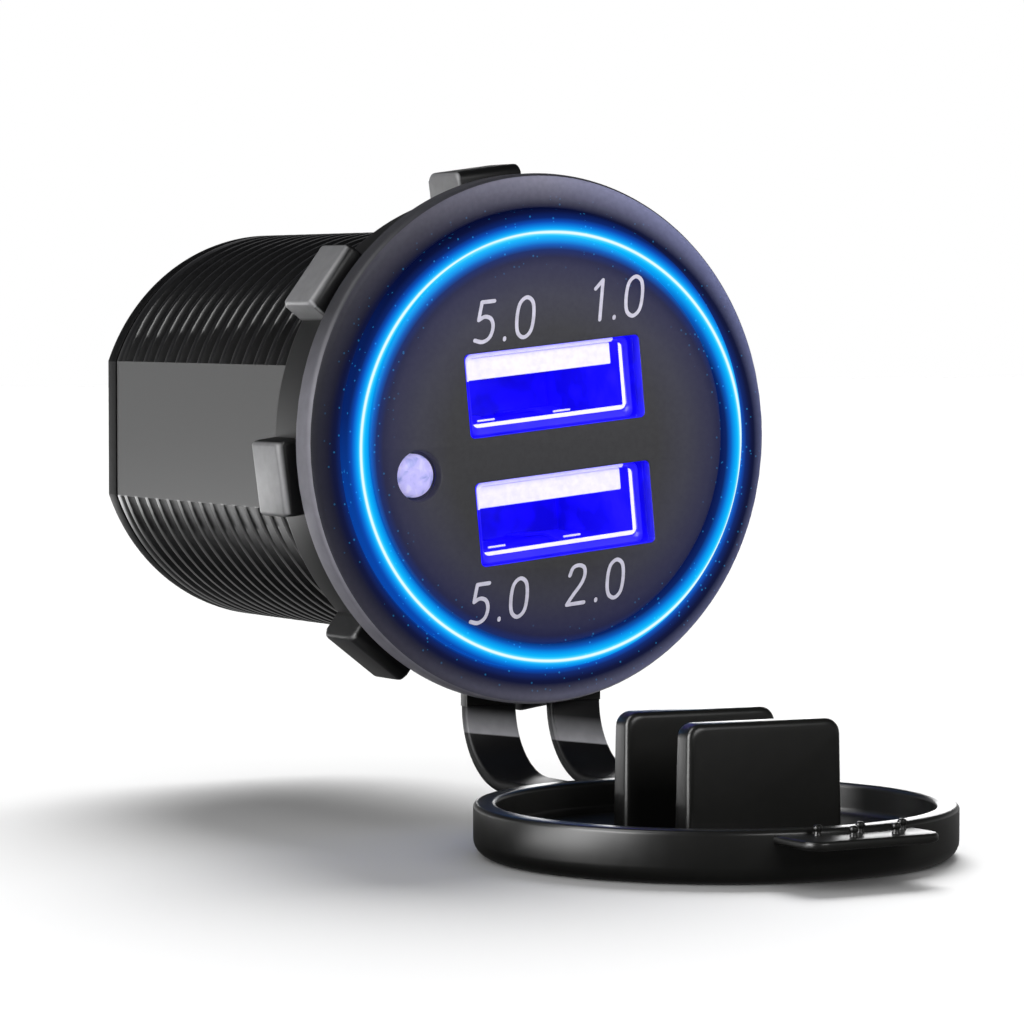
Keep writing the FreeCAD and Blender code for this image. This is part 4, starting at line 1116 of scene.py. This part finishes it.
# %% Lit receptacles and lamp
def lit_blue(name, front, back, roughness, metallic=0.0):
    """Finish of a receptacle that its own lamps light blue, brighter in front than at the back."""
    material, tree, shader = new_material(name)
    colour = ramp(tree, along(tree, "Y"), [(-2.95, front), (-0.6, front), (9.0, back), (13.0, back)])
    patch = remap(tree, noise(tree, 2.4, 2.0), 0.4, 0.62, 0.5, 1.1)
    fill(
        tree, shader, Base_Color=linear("#2018c0"), Roughness=roughness, Metallic=metallic,
        Emission_Color=times(tree, colour, patch), Emission_Strength=1.0,
    )
    return material


def frosted_lamp():
    """Clear epoxy over a lit chip: pale, with darker facets to one side."""
    material, tree, shader = new_material("frosted_lamp_epoxy")
    stops = [(0.3, "#6f78c0"), (0.42, "#9ea9e1"), (0.5, "#c4c0f8"), (0.6, "#cdc8ff"), (0.75, "#e4e0ff")]
    fill(
        tree, shader, Base_Color=linear("#7c78ac"), Roughness=0.25, Specular_IOR_Level=0.2,
        Emission_Color=ramp(tree, noise(tree, 0.7, 2.0, 0.6), stops), Emission_Strength=0.6,
    )
    return material


# Nickel-plated steel: deep blue with cloudy patches, like creased foil under a blue lamp.
steel = lit_blue("lit_nickel_steel", "#2216ff", "#0e04c8", 0.3, 0.3)
# The plate's own edge in the windows: a darker frame of blue.
window_finish = lit_blue("lit_window_edge", "#1004c8", "#0c02b8", 0.5)
# The block at the back of the port: a soft blue ground.
block_finish = lit_blue("lit_blue_pbt_block", "#1a0ef4", "#1004c4", 0.4)
# Cast epoxy of the lamp: a pale lilac bead with uneven facets.
lamp_finish = frosted_lamp()
print(len(bpy.data.materials), "finishes")

# %% [markdown]
# Now every mesh becomes a piece of the object: it gets its finish, rides on its body and stands
# for its solid. On a moulding with several finishes, each face picks its own by where it lies.


# %% Housing, ring, plate and nut
def finish_faces(piece, pick):
    """Gives each face the finish whose number pick returns for its centre, in mm, and its normal."""
    for polygon in piece.data.polygons:
        polygon.material_index = pick(polygon.center / MM, polygon.normal)


def housing_part(middle, normal):
    """Finish of the housing: 1 on the face and in the recess, 2 on the rear rim, 3 on the side."""
    away = math.hypot(middle.x, middle.z)
    if middle.y < FLANGE_FRONT + 0.2 and normal.y < -0.4 or middle.y < 0 and away < RECESS + 0.4:
        return 1
    if middle.y > SEAM:
        return 2
    return 3 if middle.y < 0 and away > FLANGE_RADIUS - 0.7 else 0


def plate_part(middle, normal):
    """Finish of the plate: 1 on the walls of the windows."""
    in_windows = math.hypot(middle.x, middle.z) < 11.9 and math.hypot(middle.x - LAMP_X, middle.z - LAMP_Z) > 2.2
    on_wall = abs(normal.y) < 0.5 and middle.y > PLATE_FRONT + 0.12
    return int(in_windows and (on_wall or -2.1 < middle.y < -1.7))


housing = add_piece(
    "moulded_housing", housing_mesh, [barrel_finish, flange_finish, end_finish, side_painted_light_finish],
    stands_for=["housing"],
)
finish_faces(housing, housing_part)
add_piece("lit_ring", light_ring_mesh, [ring_finish], stands_for=["light_ring"])
plate = add_piece(
    "matt_face_plate", plate_mesh, [plate_finish, window_finish], stands_for=["face_plate"]
)
finish_faces(plate, plate_part)
add_piece("lugged_nut", nut_mesh, [nut_painted_highlight_finish], body="nut", stands_for=["fixing_nut"])

# %% [markdown]
# Each receptacle is four pieces. The shell's front edge over the tongue is pale, because the tongue's
# light falls on it, and the tongue is pale at its front only.


# %% Receptacles, lamp and rear
def shell_part(level):
    """Function that picks a shell's finish: 1 on its front edge beside the tongue."""

    def pick(middle, normal):
        across, up = on_face(middle.x, middle.z)
        beside_tongue = (up - level > 2.2 and across < 5.4) or (up - level > 1.0 and across < -6)
        return int(middle.y < SHELL_FRONT + 0.5 and beside_tongue)

    return pick


for name, side in (("upper", 1), ("lower", -1)):
    shell = add_piece(
        f"receptacle_shell_{name}", shell_meshes[name], [steel, tongue_plastic],
        stands_for=[f"usb_shell_{name}"],
    )
    finish_faces(shell, shell_part(side * PORT_SPACING / 2))
    # Painted highlight: each shell's lip glows as a bead.
    add_piece(f"receptacle_painted_highlight_{name}", highlight_bead_meshes[name], [painted_highlight_finish])
    tongue = add_piece(
        f"receptacle_tongue_{name}", insulator_meshes[name], [block_finish, tongue_plastic],
        stands_for=[f"usb_insulator_{name}"],
    )
    finish_faces(tongue, lambda middle, normal: int(middle.y < -1.4))
    add_piece(
        f"receptacle_contacts_{name}", contact_meshes[name], [brass],
        stands_for=[f"usb_contacts_{name}"],
    )
add_piece("lamp_dome", lamp_mesh, [lamp_finish], stands_for=["indicator_led"])
add_piece("rear_cap_cover", cover_mesh, [barrel_finish], stands_for=["rear_cover"])
for name, middle in (("positive", -BLADE_X), ("negative", BLADE_X)):
    add_piece(f"blade_{name}", blade_mesh(middle), [tin], stands_for=[f"terminal_{name}"])

# %% [markdown]
# Rubber bends, so each strap is not rigid. Its curved piece and its foot are added as two pieces
# that ride on no body.

# %% Cap, marks and inside
add_piece("cap_clamp_ring", cap_ring_mesh, [rubber], stands_for=["cap_ring"])
for side, middle in zip(("left", "right"), STRAP_MIDDLES):
    upper = add_piece(
        f"strap_{side}_bend", strap_mesh(upper_path, middle), [strap_rubber_painted_sheen], body=None,
        stands_for=["cap_straps"],
    )
    lower = add_piece(
        f"strap_{side}_foot", strap_mesh(lower_path, middle), [strap_rubber_painted_sheen], body=None,
        stands_for=["cap_straps"],
    )
    ends = [Vector((middle, p.x, p.y)) * MM for p in (upper_path[0][0], lower_path[0][0], lower_path[-1][0])]
    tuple(ends[0])
    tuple(ends[1])
    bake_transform(upper)
    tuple(ends[1])
    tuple(ends[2])
    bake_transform(lower)
add_piece("moulded_lid", lid_mesh, [rubber], body="lid", stands_for=["cap_lid"])
for name, mesh in marks.items():
    add_piece(name, mesh, [ink], smooth=False)
inside = [
    (board_finish, ("ring_board", "port_board", "converter_board")),
    (component_finish, ("board_header", "inductor", "converter_chip", "input_diode")),
    (can_finish, ("output_capacitor", "input_capacitor")),
    (lamp_finish, ("ring_leds",)),
]
for finish, nodes in inside:
    for node in nodes:
        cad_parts[node].data.materials.clear()
        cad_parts[node].data.materials.append(finish)

# %% [markdown]
# The product stands in white: a white floor, a white room and one soft shadow. Black plastic shows
# only what it mirrors, so the room that it mirrors is darker overhead than at the horizon. The
# room's plain light is left at the level where a colour shows as it is written.

# %% Room
world = bpy.data.worlds.new("white_room")
bpy.context.scene.world = world
world.use_nodes = True
tree = world.node_tree
tree.nodes.clear()
ray = add(tree, "ShaderNodeLightPath")
axes = add(tree, "ShaderNodeSeparateXYZ", Vector=add(tree, "ShaderNodeTexCoord").outputs["Generated"])
ROOM_TONES = [
    (-1.0, "#e8e8e8"), (-0.05, "#e0e0e0"), (0.12, "#b0b0b0"), (0.35, "#404044"), (0.6, "#141416"), (1.0, "#101012"),
]
mirrored = ramp(tree, axes.outputs["Z"], ROOM_TONES, "EASE")
plain_light = add(tree, "ShaderNodeBackground", Color=linear("#ffffff"), Strength=0.4)
mirror_light = add(tree, "ShaderNodeBackground", Color=mirrored, Strength=1.0)
white = add(tree, "ShaderNodeBackground", Color=linear("#ffffff"), Strength=1.0)
mirror_ray = ray.outputs["Is Glossy Ray"]
for_glossy = add(tree, "ShaderNodeMixShader", Fac=mirror_ray, _1=plain_light.outputs[0], _2=mirror_light.outputs[0])
seen = math_node(tree, "MAXIMUM", ray.outputs["Is Camera Ray"], ray.outputs["Is Transmission Ray"])
background = add(tree, "ShaderNodeMixShader", Fac=seen, _1=for_glossy.outputs[0], _2=white.outputs[0])
add(tree, "ShaderNodeOutputWorld", Surface=background.outputs[0])
print("room tones", ROOM_TONES)

# %% [markdown]
# The floor is white paper. What a black piece mirrors of it is another matter: in the photo the
# lid's wall has one bright band and the barrel's underside is dark, as from cards laid on a table.
# So mirror rays see the floor with painted reflections of its own: dark in front and under the
# barrel, pale far behind, and with two bright painted cards. The floor itself stays white and keeps its shadow.

# %% Floor
FLOOR_Z = LID_BOTTOM - 0.01
FLOOR_HALF = 1500
PAINTED_CARD_DIRECTION = (-0.995, 0.09, 0)
PAINTED_CARD_LEVEL, BACK_PAINTED_CARD_LEVEL = 20.0, 8.0
PAINTED_REFLECTION_TONES = [
    (-120, "#141414"), (-50, "#303030"), (-10, "#808080"), (40, "#b0b0b0"), (200, "#b8b8b8"), (400, "#c8c8c8"),
]


def near(tree, x, y, full, none):
    """Output that is 1 within a distance of a point of the floor and fades to 0, all in mm."""
    gap = vector_node(tree, "DISTANCE", object_place(tree), Vector((x, y, FLOOR_Z)) * MM)
    return remap(tree, gap, none * MM, full * MM, kind="SMOOTHSTEP")


def beside_lid(tree):
    """1 on the painted card to the left of the lid, a painted reflection that the lid's wall mirrors."""
    from_lid = vector_node(tree, "SUBTRACT", object_place(tree), Vector((0, LID_Y, FLOOR_Z)) * MM)
    towards = vector_node(tree, "DOT_PRODUCT", vector_node(tree, "NORMALIZE", from_lid), PAINTED_CARD_DIRECTION)
    reach = vector_node(tree, "LENGTH", from_lid)
    band = math_node(tree, "MULTIPLY", remap(tree, reach, 25 * MM, 36 * MM), remap(tree, reach, 120 * MM, 80 * MM))
    return math_node(tree, "MULTIPLY", remap(tree, towards, 0.93, 0.995, kind="SMOOTHSTEP"), band)


def grey(level):
    """Neutral colour of a linear level."""
    return (level, level, level, 1.0)


floor_mesh = bmesh.new()
corners = rectangle(-FLOOR_HALF, FLOOR_HALF, -FLOOR_HALF, FLOOR_HALF, 0)
floor_mesh.faces.new([floor_mesh.verts.new(Vector((p.x, p.y, FLOOR_Z)) * MM) for p in corners])
floor_data = bpy.data.meshes.new("floor")
floor_mesh.to_mesh(floor_data)
floor = placed("floor", floor_data)
# Matt white paper: even white with no gleam, so that only the shadow marks it.
paper, tree, shader = new_material("white_paper")
fill(tree, shader, Base_Color=linear("#f2f2f2"), Roughness=0.9, Specular_IOR_Level=0.0)
# Painted reflections, seen only by mirror rays: tones along the floor, a dark patch and two bright cards.
tone = ramp(tree, along(tree, "Y"), PAINTED_REFLECTION_TONES)
tone = mix(tree, near(tree, -55, -5, 35, 70), tone, linear("#202020"))
tone = mix(tree, near(tree, -80, 145, 45, 95), tone, grey(BACK_PAINTED_CARD_LEVEL))
tone = mix(tree, beside_lid(tree), tone, grey(PAINTED_CARD_LEVEL))
mirrored = add(tree, "ShaderNodeEmission", Color=tone, Strength=1.0)
ray = add(tree, "ShaderNodeLightPath")
paper_seen = add(
    tree, "ShaderNodeMixShader", Fac=ray.outputs["Is Glossy Ray"], _1=shader.outputs[0], _2=mirrored.outputs[0]
)
sheet = next(node for node in tree.nodes if node.type == "OUTPUT_MATERIAL")
fill(tree, sheet, Surface=paper_seen.outputs[0])
floor_data.materials.append(paper)
print("floor at", round(FLOOR_Z, 2), "mm")

# %% [markdown]
# A wide, high sun behind the object throws the soft shadow to the front left. The other lights are
# cards and softboxes that black plastic mirrors: one tall box on the left, a strip over the ribs, a
# card behind for the flat, and a glint on the lid's right rim. The light high in front also lights
# the face, and it spares the floor, so the paper keeps its white.


# %% Lights
def area_light(name, size, place, aim, power):
    """Soft light of (width, height) in mm that looks from a place to a point."""
    lamp = bpy.data.lights.new(name, "AREA")
    lamp.shape = "RECTANGLE"
    lamp.size, lamp.size_y = size[0] * MM, size[1] * MM
    lamp.energy = power
    holder = placed(name, lamp)
    holder.location = Vector(place) * MM
    holder.rotation_euler = (Vector(aim) - Vector(place)).to_track_quat("-Z", "Y").to_euler()
    holder.visible_camera = False
    return holder


sun_data = bpy.data.lights.new("high_back_light", "SUN")
sun_data.energy = 4.0
sun_data.angle = math.radians(32)
sun = placed("high_back_light", sun_data)
sun.rotation_euler = Vector((0.55, 0.85, 0.85)).to_track_quat("Z", "Y").to_euler()
sun.visible_glossy = False
top_front = area_light("top_front", (240, 160), (20, -440, 190), (0, -10, 0), 1.4)
reflected = [
    area_light("left_softbox", (330, 300), (-500, -30, 120), (0, -20, 0), 7.5),
    area_light("rim_glint", (110, 80), (176, 236, 14), (8, -30, -24), 0.15),
    area_light("back_left_card", (170, 90), (-254, 450, 20), (0, 0, 0), 0.07),
    area_light("upper_left_strip", (280, 300), (-320, 60, 390), (0, 0, 0), 3.0),
]
for light in reflected:
    light.visible_diffuse = False
spared = bpy.data.collections.new("not_lit_from_the_front")
spared.objects.link(floor)
top_front.light_linking.receiver_collection = spared
spared.collection_objects[0].light_linking.link_state = "EXCLUDE"

# %% [markdown]
# The camera stands to the left of the face, a little above it, with a long lens, so the round face
# keeps its shape and the barrel hardly narrows.

# %% Camera
right = Vector((0.86110, -0.50844, 0.0))
up = Vector((0.02422, 0.04101, 0.99887))
back = Vector((-0.50786, -0.86012, 0.04763))
camera_data = bpy.data.cameras.new("camera")
camera_data.lens = 151.3
camera_data.sensor_width = 36
camera_data.clip_start = 0.01
camera = placed("camera", camera_data)
facing = Matrix((right, up, back)).transposed().to_4x4()
camera.matrix_world = Matrix.Translation(Vector((-154.21, -258.93, 9.22)) * MM) @ facing
bpy.context.scene.camera = camera
bpy.context.scene.view_settings.view_transform = "Standard"
